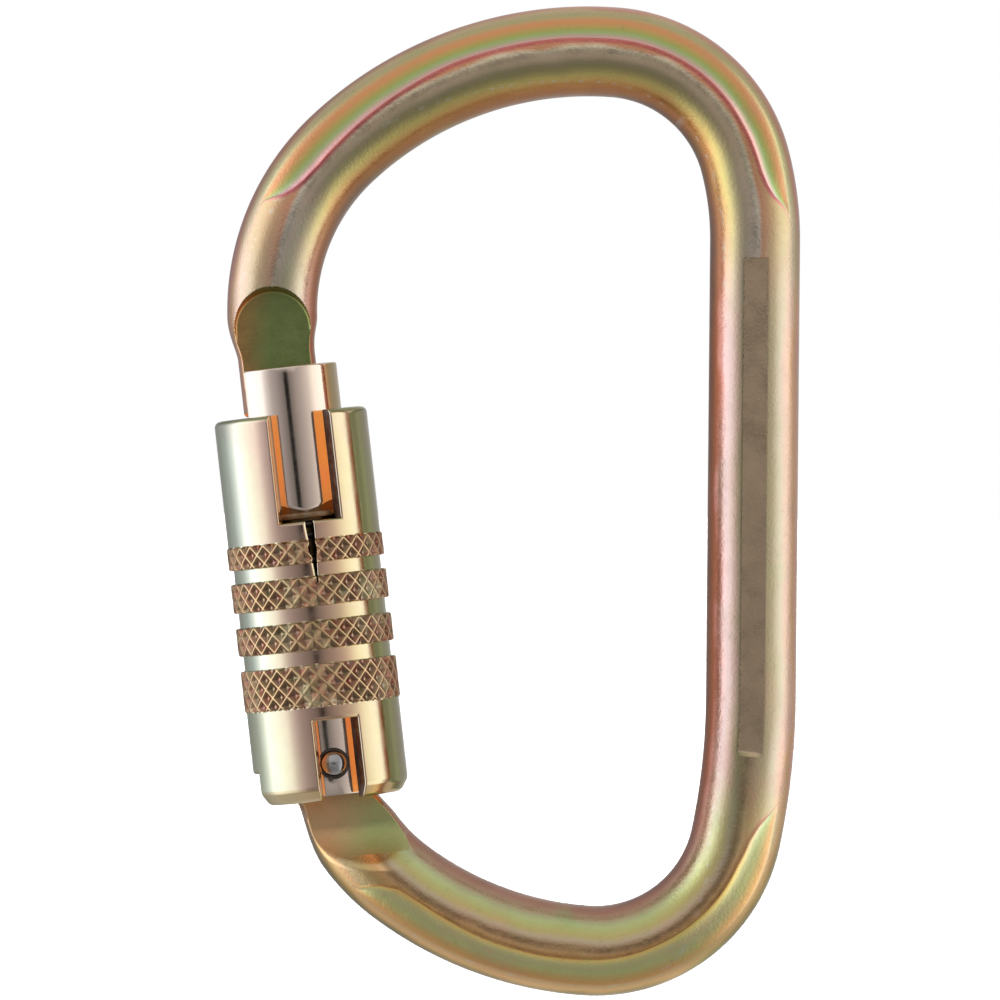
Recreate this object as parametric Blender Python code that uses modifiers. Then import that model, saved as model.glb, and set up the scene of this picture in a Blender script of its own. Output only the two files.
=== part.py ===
# Steel locking carabiner with a sprung gate and a lift-and-turn locking sleeve.
# Metres. The ring of the frame lies in the XZ plane: +X towards the spine, +Z up, the front face looks along -Y.
# Origin: the bearing point of the top basket, the highest point of the opening.
import bpy
import bmesh
import numpy as np
from math import sin, cos, radians, degrees, pi, sqrt
from mathutils import Matrix, Vector

for o in list(bpy.data.objects):
    bpy.data.objects.remove(o, do_unlink=True)

MM = 0.001

# ---- frame: a 12 mm round bar bent through these arcs ----
BAR_R = 6.0
SPINE_X = 22.30
SPINE_TOP = -19.17
SPINE_LEN = 60.93
TOP_ARCS = ((40.99, 15.19), (19.48, 71.24), (48.06, 46.98), (29.60, 53.527))
BOTTOM_ARCS = ((94.34, 11.28), (19.08, 82.05), (46.50, 33.20), (25.6, 46.53))
TONGUE_HALF = 2.4            # half thickness of both milled tongues
NOSE_R = 5.15
HINGE_R = 5.0
PAD_DEPTH = 0.24             # shallow flat on each face of the spine
PAD_TOP, PAD_BOTTOM = -21.5, -87.3
GROOVE_ANGLE = 30.4
GROOVE_R = 3.2
GROOVE_DEPTH = 0.9

# ---- gate, in its own axes: v inwards, y to the back, u up along the gate ----
GATE_X, GATE_Z = -33.83, -89.14
GATE_TILT = 6.937
PIVOT_V = 0.7
TUBE_R = 6.88
NECK_R = 6.30
TUBE_TOP, TUBE_BOTTOM = 53.0, -4.3
COLLAR_BOTTOM, LAND_TOP = 33.6, 7.6
FORK_HALF = 2.6
FORK_TOP = 6.4
SLOT_FLOOR = 47.4
SHOULDER = 51.0
MOUTH_FLAT = 5.45
SPRING_BORE_R = 2.70
SPRING_BORE_TOP = 38.0
NOSE_BOTTOM = 48.4
KEY_TOP = 50.6
KEY_HALF = 4.0
CAM_R = 4.30
CAM_K = 1.80                 # plunger lift per radian
RIVET_R = 1.45
HEAD_R = 1.80
HEAD_SEAT = 5.6
HEAD_TOP = 7.45

# ---- sleeve ----
SLEEVE_R = 10.2
LAND_R = 9.8
KNURL_R = 10.42
SLEEVE_TOP, SLEEVE_BOTTOM = 46.77, -4.75
SLEEVE_BORE = 8.30
SLEEVE_LIP_BORE = 7.75
LIP_TOP = 7.7
BANDS = ((29.90, 26.73), (25.04, 21.01), (19.13, 15.27), (13.38, 7.74))
SLOT_BOTTOM = 32.3
SLOT_FROM, SLOT_TO = -32.4, 16.5      # degrees from the front, positive outwards
SLIT_BOTTOM = 24.2
WINDOW_TOP = 5.9
WINDOW_FROM, WINDOW_TO = -27.5, 8.0
RELIEF_FROM, RELIEF_TO = 67.0, 262.0
RELIEF_TOP = -0.4

tilt = radians(GATE_TILT)
VV = Vector((cos(tilt), 0, sin(tilt)))
UU = Vector((-sin(tilt), 0, cos(tilt)))
YY = Vector((0, 1, 0))
GATE = Matrix(((VV.x, 0, UU.x, GATE_X * MM), (0, 1, 0, 0), (VV.z, 0, UU.z, GATE_Z * MM), (0, 0, 0, 1)))

parts = bpy.data.collections.new("locking_carabiner")
tools = bpy.data.collections.new("cutters")
bpy.context.scene.collection.children.link(parts)
bpy.context.scene.collection.children.link(tools)


def material(name, color, metallic, roughness):
    m = bpy.data.materials.new(name)
    m.use_nodes = True
    b = m.node_tree.nodes["Principled BSDF"]
    b.inputs["Base Color"].default_value = (*color, 1)
    b.inputs["Metallic"].default_value = metallic
    b.inputs["Roughness"].default_value = roughness
    m.diffuse_color = (*color, 1)
    return m


def obj(name, mesh, where, mat=None, smooth=True):
    o = bpy.data.objects.new(name, mesh)
    where.objects.link(o)
    if mat:
        mesh.materials.append(mat)
    if smooth:
        mesh.polygons.foreach_set("use_smooth", [True] * len(mesh.polygons))
    if where is tools:
        o.hide_render = True
        o.display_type = "WIRE"
    return o


def cut(target, cutter, how="DIFFERENCE"):
    m = target.modifiers.new(how.lower() + "_" + cutter.name, "BOOLEAN")
    m.operation = how
    m.object = cutter
    m.solver = "EXACT"
    return m


def bake(o):
    """Apply the modifiers, so the result can be joined or cut again."""
    bpy.context.view_layer.update()
    ev = o.evaluated_get(bpy.context.evaluated_depsgraph_get())
    me = bpy.data.meshes.new_from_object(ev)
    o.modifiers.clear()
    old = o.data
    o.data = me
    bpy.data.meshes.remove(old)
    return o


def prism(name, outline, y0, y1, where=tools, mat=None):
    """A polygon in the XZ plane, in millimetres, drawn out from y0 to y1."""
    bm = bmesh.new()
    ring = [bm.verts.new((x * MM, y0 * MM, z * MM)) for x, z in outline]
    f = bm.faces.new(ring)
    r = bmesh.ops.extrude_face_region(bm, geom=[f])
    bmesh.ops.translate(bm, verts=[g for g in r["geom"] if isinstance(g, bmesh.types.BMVert)], vec=(0, (y1 - y0) * MM, 0))
    bmesh.ops.recalc_face_normals(bm, faces=bm.faces)
    me = bpy.data.meshes.new(name)
    bm.to_mesh(me)
    bm.free()
    return obj(name, me, where, mat, smooth=False)


def block(name, v, y, u, where=tools):
    """A box given by its spans in the gate's own axes."""
    bm = bmesh.new()
    bmesh.ops.create_cube(bm, size=1)
    for w in bm.verts:
        w.co = Vector(((v[0] + v[1]) / 2 + w.co.x * (v[1] - v[0]), (y[0] + y[1]) / 2 + w.co.y * (y[1] - y[0]), (u[0] + u[1]) / 2 + w.co.z * (u[1] - u[0]))) * MM
    me = bpy.data.meshes.new(name)
    bm.to_mesh(me)
    bm.free()
    o = obj(name, me, where, smooth=False)
    o.matrix_world = GATE
    return o


def rod(name, r0, r1, a, b, sides, where=tools, mat=None):
    """A round bar or cone from point a to point b, in the gate's own axes."""
    a, b = Vector(a) * MM, Vector(b) * MM
    bm = bmesh.new()
    bmesh.ops.create_cone(bm, cap_ends=True, segments=sides, radius1=r0 * MM, radius2=r1 * MM, depth=(b - a).length)
    me = bpy.data.meshes.new(name)
    q = (b - a).to_track_quat("Z", "Y").to_matrix().to_4x4()
    bm.transform(Matrix.Translation((a + b) / 2) @ q)
    bm.to_mesh(me)
    bm.free()
    o = obj(name, me, where, mat)
    o.matrix_world = GATE
    return o


def face_outwards(o, screw):
    """Flip a turned piece whose faces come out pointing inwards."""
    bpy.context.view_layer.update()
    ev = o.evaluated_get(bpy.context.evaluated_depsgraph_get())
    bm = bmesh.new()
    bm.from_mesh(ev.to_mesh())
    if bm.calc_volume(signed=True) < 0:
        screw.use_normal_flip = True
    bm.free()
    ev.to_mesh_clear()


def turned(name, profile, sides, where=parts, mat=None, v=0.0):
    """A closed (radius, height) outline turned about the gate's axis."""
    bm = bmesh.new()
    ring = [bm.verts.new((r * MM, 0, u * MM)) for r, u in profile]
    for i in range(len(ring)):
        a, b = i, (i + 1) % len(ring)
        if profile[a][0] > 0 or profile[b][0] > 0:      # nothing runs along the axis itself
            bm.edges.new((ring[a], ring[b]))
    me = bpy.data.meshes.new(name)
    bm.to_mesh(me)
    bm.free()
    o = obj(name, me, where, mat)
    s = o.modifiers.new("turn", "SCREW")
    s.axis = "Z"
    s.angle = 2 * pi
    s.steps = s.render_steps = sides
    s.use_merge_vertices = True
    s.merge_threshold = 0.00002
    s.use_normal_calculate = True
    s.use_smooth_shade = True
    face_outwards(o, s)
    o.matrix_world = GATE @ Matrix.Translation((v * MM, 0, 0))
    return o


def swept(name, points, radii, r, resolution, where=tools, mat=None):
    """A round bar along points given in metres, turned into a closed mesh."""
    c = bpy.data.curves.new(name + "_path", "CURVE")
    c.dimensions = "3D"
    c.bevel_depth = r * MM
    c.bevel_resolution = resolution
    c.use_fill_caps = True
    c.twist_mode = "MINIMUM"
    s = c.splines.new("POLY")
    s.points.add(len(points) - 1)
    for p, q, w in zip(s.points, points, radii):
        p.co = (*q, 1)
        p.radius = w
    t = bpy.data.objects.new(name + "_path", c)
    where.objects.link(t)
    bpy.context.view_layer.update()
    me = bpy.data.meshes.new_from_object(t.evaluated_get(bpy.context.evaluated_depsgraph_get()))
    world = t.matrix_world.copy()
    bpy.data.objects.remove(t)
    bm = bmesh.new()
    bm.from_mesh(me)
    bmesh.ops.remove_doubles(bm, verts=bm.verts, dist=1e-6)
    bmesh.ops.recalc_face_normals(bm, faces=bm.faces)
    bm.to_mesh(me)
    bm.free()
    me.materials.clear()
    o = obj(name, me, where, mat)
    o.matrix_world = world
    return o


def arc_path(x, z, heading, arcs, side, step):
    """Centreline points with their headings, bending through each (radius, degrees). side is +1 to bend left."""
    out = [(x, z, heading)]
    for R, deg in arcs:
        n = max(2, int(round(deg / step(R))))
        cx, cz = x - sin(heading) * side * R, z + cos(heading) * side * R
        for i in range(1, n + 1):
            h = heading + side * radians(deg) * i / n
            out.append((cx + sin(h) * side * R, cz - cos(h) * side * R, h))
        x, z, heading = out[-1]
    return out


def gate_xz(v, u):
    p = GATE @ (Vector((v, 0, u)) * MM)
    return p.x / MM, p.z / MM


# ---- materials ----
m_frame = material("frame", (0.62, 0.55, 0.33), 1.0, 0.34)
m_tube = material("gate_tube", (0.74, 0.68, 0.58), 1.0, 0.20)
m_sleeve = material("locking_sleeve", (0.70, 0.66, 0.42), 1.0, 0.28)
m_rivet = material("hinge_rivet", (0.42, 0.41, 0.42), 1.0, 0.22)
m_spring = material("spring_steel", (0.48, 0.47, 0.45), 1.0, 0.30)
m_plunger = material("plunger", (0.55, 0.50, 0.36), 1.0, 0.35)
m_ring = material("spring_ring", (0.45, 0.36, 0.20), 1.0, 0.38)

# ---- frame ----
step = lambda R: 6.0 if R < 25 else (4.0 if R < 60 else 2.9)
top = arc_path(SPINE_X, SPINE_TOP, pi / 2, TOP_ARCS, +1, step)
bottom = arc_path(SPINE_X, SPINE_TOP - SPINE_LEN, -pi / 2, BOTTOM_ARCS, -1, step)
nose_v = -0.95


def local(x, z):
    d = Vector((x * MM, 0, z * MM)) - Vector((GATE_X * MM, 0, GATE_Z * MM))
    return d.dot(VV) / MM, d.dot(UU) / MM


line = []
for x, z, h in reversed(bottom):
    v, u = local(x, z)
    near = min(1, max(0, (u + 11.0) / 7.0)) if v < 12 else 0
    if v > 12 or u < -1.5:
        line.append((x, z, 1.0 - (1.0 - HINGE_R / BAR_R) * near))
for x, z, h in top:
    v, u = local(x, z)
    line.append((x, z, 1.0))
v_end, u_end = local(*line[-1][:2])
line = line[:-1]
# the last stretch narrows into the nose
for i in range(0, 6):
    u = u_end + (NOSE_BOTTOM - u_end) * i / 5
    k = min(1.0, (u_end - u) / 3.0)
    x, z = gate_xz(v_end + (nose_v - v_end) * k, u)
    line.append((x, z, 1.0 - (1.0 - NOSE_R / BAR_R) * (0.35 + 0.65 * k)))
fresh = []
for p in line:
    if not fresh or (Vector(p[:2]) - Vector(fresh[-1][:2])).length > 0.4:
        fresh.append(p)
frame = swept("frame", [(x * MM, 0, z * MM) for x, z, w in fresh], [w for x, z, w in fresh], BAR_R, 8, parts, m_frame)

# cam-ended hinge tongue
cam = []
pv = PIVOT_V
for i in range(7):                       # rounded outer shoulder
    a = radians(180 - 90 * i / 6)
    cam.append((pv + CAM_R * cos(a), CAM_R * sin(a)))
for i in range(6):                       # involute that lifts the plunger evenly
    a = radians(90 - 32 * i / 5)
    p = CAM_R + CAM_K * (pi / 2 - a)
    cam.append((pv + p * cos(a) + CAM_K * sin(a), p * sin(a) - CAM_K * cos(a)))
cam += [(4.7, 0.5), (4.6, -3.0), (5.2, -5.6), (2.0, -8.5), (-3.6, -7.2), (-5.05, -4.2), (-4.6, -1.6)]
tongue = prism("hinge_tongue", [gate_xz(v, u) for v, u in cam], -TONGUE_HALF + 0.03, TONGUE_HALF - 0.03)


# nose: the flats are milled by a 9.9 mm cutter running along the nose
mill = 4.95
mill_end = 58.3
for side in (-1, 1):
    outline = [gate_xz(-0.95 + mill * cos(radians(a)), mill_end + mill * sin(radians(a))) for a in range(0, 181, 15)]
    outline += [gate_xz(-0.95 - mill - 0.6, KEY_TOP), gate_xz(-0.95 + mill + 0.6, KEY_TOP)]
    cut(frame, prism("nose_flat_%d" % side, outline, side * TONGUE_HALF, side * 8))
    key = [gate_xz(v, u) for v, u in ((-8, 52.5), (-8, 46), (7, 46), (7, 52.5))]
    cut(frame, prism("key_flat_%d" % side, key, side * KEY_HALF, side * 8))

# hinge end: the flats follow the bend and run out square to it
mill_path = arc_path(SPINE_X, SPINE_TOP - SPINE_LEN, -pi / 2, BOTTOM_ARCS, -1, lambda R: 2.3)
tail = [p for p in mill_path if -14.5 < local(p[0], p[1])[1] < 1 and local(p[0], p[1])[0] < 12]
for side in (-1, 1):
    half = 5.3
    lft, rgt = [], []
    for x, z, h in tail:
        lft.append((x - sin(h) * half, z + cos(h) * half))
        rgt.append((x + sin(h) * half, z - cos(h) * half))
    x, z, h = tail[0]
    cap = [(x + half * 1.0 * sin(h) * cos(radians(a)) - half * 0.55 * cos(h) * sin(radians(a)),
            z - half * 1.0 * cos(h) * cos(radians(a)) - half * 0.55 * sin(h) * sin(radians(a))) for a in range(18, 163, 18)]
    outline = lft[::-1] + cap[::-1] + rgt
    cut(frame, prism("hinge_flat_%d" % side, outline, side * TONGUE_HALF, side * 8))

# relief grooves pressed into the outer shoulder of both faces, along the top and the bottom bends
lift_out = 1.5
gstep = lambda R: 5.1 if R < 25 else (3.37 if R < 60 else 2.25)
top_run = arc_path(SPINE_X, SPINE_TOP, pi / 2, TOP_ARCS, +1, gstep)
bottom_run = arc_path(SPINE_X, SPINE_TOP - SPINE_LEN, -pi / 2, BOTTOM_ARCS, -1, gstep)
for label, path, s, first, last in (("top", top_run, 1, 0.6, 90.0), ("bottom", bottom_run, -1, 10.0, 79.5)):
    run = [0.0]
    for a, b in zip(path, path[1:]):
        run.append(run[-1] + sqrt((a[0] - b[0]) ** 2 + (a[1] - b[1]) ** 2))
    for side in (-1, 1):
        pts = []
        for (x, z, h), d in zip(path, run):
            if first <= d <= last:
                e = min(d - first, last - d)
                D = BAR_R - GROOVE_DEPTH + GROOVE_R + lift_out * max(0, 1 - e / 11.0) ** 1.6
                a = radians(GROOVE_ANGLE + 0.3 * side)
                ox, oz = (sin(h), -cos(h)) if s > 0 else (-sin(h), cos(h))
                pts.append(((x + ox * D * sin(a)) * MM, side * D * cos(a) * MM, (z + oz * D * sin(a)) * MM))
        cut(frame, swept("groove_%s_%d" % (label, side), pts, [1] * len(pts), GROOVE_R, 6))

# shallow flat on both faces of the spine
for side in (-1, 1):
    outline = [(SPINE_X - 5, PAD_TOP), (SPINE_X + 5, PAD_TOP), (SPINE_X + 5, PAD_BOTTOM), (SPINE_X - 5, PAD_BOTTOM)]
    o = prism("pad_%d" % side, outline, side * (BAR_R - PAD_DEPTH), side * 9)
    cut(frame, o)
bake(frame)
cut(frame, tongue, "UNION")
bake(frame)
cut(frame, rod("rivet_hole", RIVET_R + 0.08, RIVET_R + 0.08, (PIVOT_V, -10, 0), (PIVOT_V, 10, 0), 24))

# ---- gate tube ----
tube = turned("gate_tube", [
    (TUBE_R - 0.3, TUBE_TOP), (TUBE_R, TUBE_TOP - 0.3), (TUBE_R, COLLAR_BOTTOM), (NECK_R, COLLAR_BOTTOM),
    (NECK_R, LAND_TOP), (TUBE_R, LAND_TOP), (TUBE_R, TUBE_BOTTOM + 0.3), (TUBE_R - 0.3, TUBE_BOTTOM),
    (0.0, TUBE_BOTTOM), (0.0, TUBE_TOP)], 40, mat=m_tube)
cut(tube, block("fork", (-9, 9), (-FORK_HALF, FORK_HALF), (-6, FORK_TOP)))
cut(tube, rod("spring_bore", SPRING_BORE_R, SPRING_BORE_R, (PIVOT_V, 0, 4), (PIVOT_V, 0, SPRING_BORE_TOP), 20))
cut(tube, block("nose_slot", (-9, 4.75), (-FORK_HALF, FORK_HALF), (SHOULDER - 0.5, 55)))
cut(tube, block("key_slot", (-9, 4.75), (-KEY_HALF - 0.2, KEY_HALF + 0.2), (SLOT_FLOOR, SHOULDER)))
cut(tube, block("mouth_flat", (-9, -MOUTH_FLAT), (-9, 9), (SLOT_FLOOR - 0.9, 55)))
cut(tube, rod("shank_bore", RIVET_R + 0.05, RIVET_R + 0.05, (PIVOT_V, -10, 0), (PIVOT_V, 10, 0), 24))
for side in (-1, 1):
    cut(tube, rod("head_seat_%d" % side, 2.1, 2.1, (PIVOT_V, side * HEAD_SEAT, 0), (PIVOT_V, side * 10, 0), 24))
bake(tube)

# ---- rivet with two domed heads ----
bm = bmesh.new()
prof = [(0.0, -HEAD_TOP)]
for i in range(1, 6):
    a = radians(90 * i / 5)
    prof.append((HEAD_R * sin(a), -HEAD_TOP + 1.15 * (1 - cos(a))))
prof += [(HEAD_R, -HEAD_SEAT - 0.12), (RIVET_R - 0.05, -HEAD_SEAT - 0.12)]
prof += [(r, -y) for r, y in reversed(prof)]
ring = [bm.verts.new((r * MM, 0, y * MM)) for r, y in prof]
for a, b in zip(ring, ring[1:]):
    bm.edges.new((a, b))
me = bpy.data.meshes.new("hinge_rivet")
bm.to_mesh(me)
bm.free()
rivet = obj("hinge_rivet", me, parts, m_rivet)
s = rivet.modifiers.new("turn", "SCREW")
s.axis, s.angle, s.steps, s.render_steps = "Z", 2 * pi, 24, 24
s.use_merge_vertices, s.merge_threshold, s.use_normal_calculate = True, 0.00002, True
face_outwards(rivet, s)
rivet.matrix_world = GATE @ Matrix.Translation((PIVOT_V * MM, 0, 0)) @ Matrix.Rotation(pi / 2, 4, "X")


# ---- plunger: a cap on the cam with a stem inside the gate spring ----
PL = CAM_R + 0.12
plunger = turned("gate_plunger", [(1.05, PL + 7.5), (1.05, PL + 3.2), (2.45, PL + 3.2), (2.45, PL + 0.3), (2.15, PL), (0.0, PL), (0.0, PL + 7.5)], 20, mat=m_plunger, v=PIVOT_V)


def coil(name, v, mean, wire, u0, u1, turns, per_turn, mat):
    pts = []
    n = int(turns * per_turn)
    lo, hi = u0 + wire / 2, u1 - wire / 2
    pitch = wire * 1.06
    for i in range(n + 1):
        t = turns * i / n
        # closed coils at both ends, open ones between
        ends = 1.0
        if t < ends:
            h = pitch * t
        elif t > turns - ends:
            h = (hi - lo) - pitch * (turns - t)
        else:
            h = pitch * ends + ((hi - lo) - 2 * pitch * ends) * (t - ends) / (turns - 2 * ends)
        a = 2 * pi * t
        p = GATE @ (Vector((v + mean * cos(a), mean * sin(a), lo + h)) * MM)
        pts.append(tuple(p))
    return swept(name, pts, [1] * len(pts), wire / 2, 1, parts, mat)


gate_spring = coil("gate_spring", PIVOT_V, 1.95, 0.7, PL + 3.3, SPRING_BORE_TOP - 0.1, 13, 9, m_spring)

# ---- spring seats on the tube and the sleeve spring ----
SEAT_U0, SEAT_U1 = LAND_TOP + 0.25, 9.6
seat = turned("spring_seat_ring", [(8.1, SEAT_U1), (8.1, SEAT_U0), (NECK_R + 0.15, SEAT_U0), (NECK_R + 0.15, SEAT_U1)], 36, mat=m_ring)
washer = turned("spring_stop_washer", [(8.05, COLLAR_BOTTOM - 0.08), (8.05, COLLAR_BOTTOM - 0.9), (NECK_R + 0.06, COLLAR_BOTTOM - 0.9), (NECK_R + 0.06, COLLAR_BOTTOM - 0.08)], 36, mat=m_ring)
sleeve_spring = coil("sleeve_spring", 0.0, 7.15, 0.9, SEAT_U1 + 0.1, COLLAR_BOTTOM - 1.0, 8, 16, m_spring)

# ---- sleeve ----
prof = [(SLEEVE_BORE, SLEEVE_TOP), (SLEEVE_R - 0.7, SLEEVE_TOP), (SLEEVE_R - 0.2, SLEEVE_TOP - 0.2), (SLEEVE_R, SLEEVE_TOP - 0.7)]
for i, (a, b) in enumerate(BANDS):
    over = SLEEVE_R if i == 0 else LAND_R
    prof += [(over, a + 0.25), (KNURL_R, a - 0.05), (KNURL_R, b + 0.05)]
    under = SLEEVE_R if i == len(BANDS) - 1 else LAND_R
    prof += [(under, b - 0.25)]
prof += [(SLEEVE_R, SLEEVE_BOTTOM + 2.2), (SLEEVE_R - 0.25, SLEEVE_BOTTOM + 1.25), (SLEEVE_R - 0.95, SLEEVE_BOTTOM + 0.35), (SLEEVE_R - 1.7, SLEEVE_BOTTOM)]
prof += [(SLEEVE_LIP_BORE, SLEEVE_BOTTOM), (SLEEVE_LIP_BORE, LIP_TOP), (SLEEVE_BORE, LIP_TOP)]
sleeve = turned("locking_sleeve", prof, 56, mat=m_sleeve)


def sector(name, a0, a1, u0, u1, r=14.0, inner=2.0):
    """A wedge of space around the gate's axis. Angles in degrees from the front, positive towards the outer side."""
    n = max(2, int(abs(a1 - a0) / 6) + 1)
    at = [radians(a0 + (a1 - a0) * i / n) for i in range(n + 1)]
    bm = bmesh.new()
    ring = [bm.verts.new((-r * sin(a) * MM, -r * cos(a) * MM, u0 * MM)) for a in at]
    ring += [bm.verts.new((-inner * sin(a) * MM, -inner * cos(a) * MM, u0 * MM)) for a in reversed(at)]
    f = bm.faces.new(ring)
    e = bmesh.ops.extrude_face_region(bm, geom=[f])
    bmesh.ops.translate(bm, verts=[g for g in e["geom"] if isinstance(g, bmesh.types.BMVert)], vec=(0, 0, (u1 - u0) * MM))
    bmesh.ops.recalc_face_normals(bm, faces=bm.faces)
    me = bpy.data.meshes.new(name)
    bm.to_mesh(me)
    bm.free()
    o = obj(name, me, tools, smooth=False)
    o.matrix_world = GATE
    return o


cut(sleeve, sector("top_slot", SLOT_FROM, SLOT_TO, SLOT_BOTTOM, 50))
cut(sleeve, sector("slit", -9.4, -3.6, SLIT_BOTTOM, SLOT_BOTTOM + 1))
cut(sleeve, sector("window", WINDOW_FROM, WINDOW_TO, -8, WINDOW_TOP))
cut(sleeve, sector("relief", RELIEF_FROM, RELIEF_TO, -8, RELIEF_TOP))

# ---- each moving piece turns or slides about its own origin ----
def pivot_at(o, m):
    """Move the object's origin to m without moving its shape."""
    world = o.matrix_world.copy()
    o.data.transform(m.inverted() @ world)
    o.matrix_world = m


hinge_at = GATE @ Matrix.Translation((PIVOT_V * MM, 0, 0))
for o in (tube,):
    pivot_at(o, hinge_at)
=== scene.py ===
import bpy
import bmesh
import numpy as np
from math import sin, cos, tan, radians, degrees, pi, sqrt, hypot
from mathutils import Matrix, Vector


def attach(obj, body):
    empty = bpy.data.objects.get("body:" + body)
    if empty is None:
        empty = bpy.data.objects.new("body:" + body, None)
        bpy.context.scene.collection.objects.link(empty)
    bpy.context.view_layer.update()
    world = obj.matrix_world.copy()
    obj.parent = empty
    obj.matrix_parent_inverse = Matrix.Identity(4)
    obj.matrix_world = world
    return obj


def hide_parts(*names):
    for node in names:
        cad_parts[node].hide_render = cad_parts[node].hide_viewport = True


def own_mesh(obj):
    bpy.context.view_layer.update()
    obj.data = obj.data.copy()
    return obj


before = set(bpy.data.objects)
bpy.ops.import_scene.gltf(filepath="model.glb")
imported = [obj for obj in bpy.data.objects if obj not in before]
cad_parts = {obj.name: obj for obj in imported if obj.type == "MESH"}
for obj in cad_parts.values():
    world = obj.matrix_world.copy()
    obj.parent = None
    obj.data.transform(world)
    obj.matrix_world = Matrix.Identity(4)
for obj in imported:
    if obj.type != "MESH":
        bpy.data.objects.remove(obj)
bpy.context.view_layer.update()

MM = 0.001
# ---------------------------------------------------------------- the part's own dimensions, in millimetres
BAR_R, SPINE_X, SPINE_TOP, SPINE_LEN = 6.0, 22.30, -19.17, 60.93
TOP_ARCS = ((40.99, 15.19), (19.48, 71.24), (48.06, 46.98), (29.60, 53.527))
BOTTOM_ARCS = ((94.34, 11.28), (19.08, 82.05), (46.50, 33.20), (25.6, 46.53))
TONGUE_HALF, NOSE_R, HINGE_R = 2.4, 5.15, 5.0
PAD_DEPTH, PAD_TOP, PAD_BOTTOM = 0.24, -21.5, -87.3
GATE_X, GATE_Z, PIVOT_V = -33.83, -89.14, 0.7
TUBE_R, NECK_R, TUBE_TOP, TUBE_BOTTOM = 6.88, 6.30, 53.0, -4.3
COLLAR_BOTTOM, LAND_TOP, FORK_HALF, FORK_TOP = 33.6, 7.6, 2.6, 6.4
SLOT_FLOOR, SHOULDER, MOUTH_FLAT = 47.4, 51.0, 5.45
SPRING_BORE_R, SPRING_BORE_TOP, NOSE_BOTTOM, KEY_TOP, KEY_HALF = 2.70, 38.0, 48.4, 50.6, 4.0
CAM_R, CAM_K, RIVET_R, HEAD_R, HEAD_SEAT, HEAD_TOP = 4.30, 1.80, 1.45, 1.80, 5.6, 7.45
SLEEVE_R, LAND_R, KNURL_R, SLEEVE_TOP, SLEEVE_BOTTOM = 10.2, 9.8, 10.42, 46.77, -4.75
SLEEVE_BORE, SLEEVE_LIP_BORE, LIP_TOP = 8.30, 7.75, 7.7
BANDS = ((29.90, 26.73), (25.04, 21.01), (19.13, 15.27), (13.38, 7.74))
SLOT_BOTTOM, SLOT_FROM, SLOT_TO = 32.3, -32.4, 16.5
SLIT_BOTTOM = 24.2
WINDOW_TOP, WINDOW_FROM, WINDOW_TO = 5.9, -27.5, 8.0
RELIEF_FROM, RELIEF_TO, RELIEF_TOP = 67.0, 262.0, -0.4

tilt = radians(6.937)
VV = np.array([cos(tilt), 0, sin(tilt)])
UU = np.array([-sin(tilt), 0, cos(tilt)])
YY = np.array([0, 1.0, 0])
OO = np.array([GATE_X, 0, GATE_Z])


def gate_pts(v, y, u):
    """Gate axes to the row frame, millimetres, on arrays."""
    v, y, u = np.broadcast_arrays(v, y, u)
    return OO + v[..., None] * VV + y[..., None] * YY + u[..., None] * UU


def link(name, verts, faces, mats, index=None, smooth=True):
    me = bpy.data.meshes.new(name)
    me.from_pydata((np.asarray(verts) * MM).tolist(), [], [list(map(int, f)) for f in faces])
    for m in mats:
        me.materials.append(m)
    if index is not None:
        me.polygons.foreach_set("material_index", np.asarray(index, dtype=np.int32))
    me.polygons.foreach_set("use_smooth", [smooth] * len(me.polygons))
    me.update()
    o = bpy.data.objects.new(name, me)
    bpy.context.scene.collection.objects.link(o)
    return o


def mark(o, name, values):
    """A number on each vertex that the finish can follow."""
    at = o.data.attributes.new(name, "FLOAT", "POINT")
    at.data.foreach_set("value", np.asarray(values, dtype=np.float32))


def outward(o):
    bm = bmesh.new()
    bm.from_mesh(o.data)
    bmesh.ops.recalc_face_normals(bm, faces=bm.faces)
    if bm.calc_volume(signed=True) < 0:
        bmesh.ops.reverse_faces(bm, faces=bm.faces)
    bm.to_mesh(o.data)
    bm.free()
    return o


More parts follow.
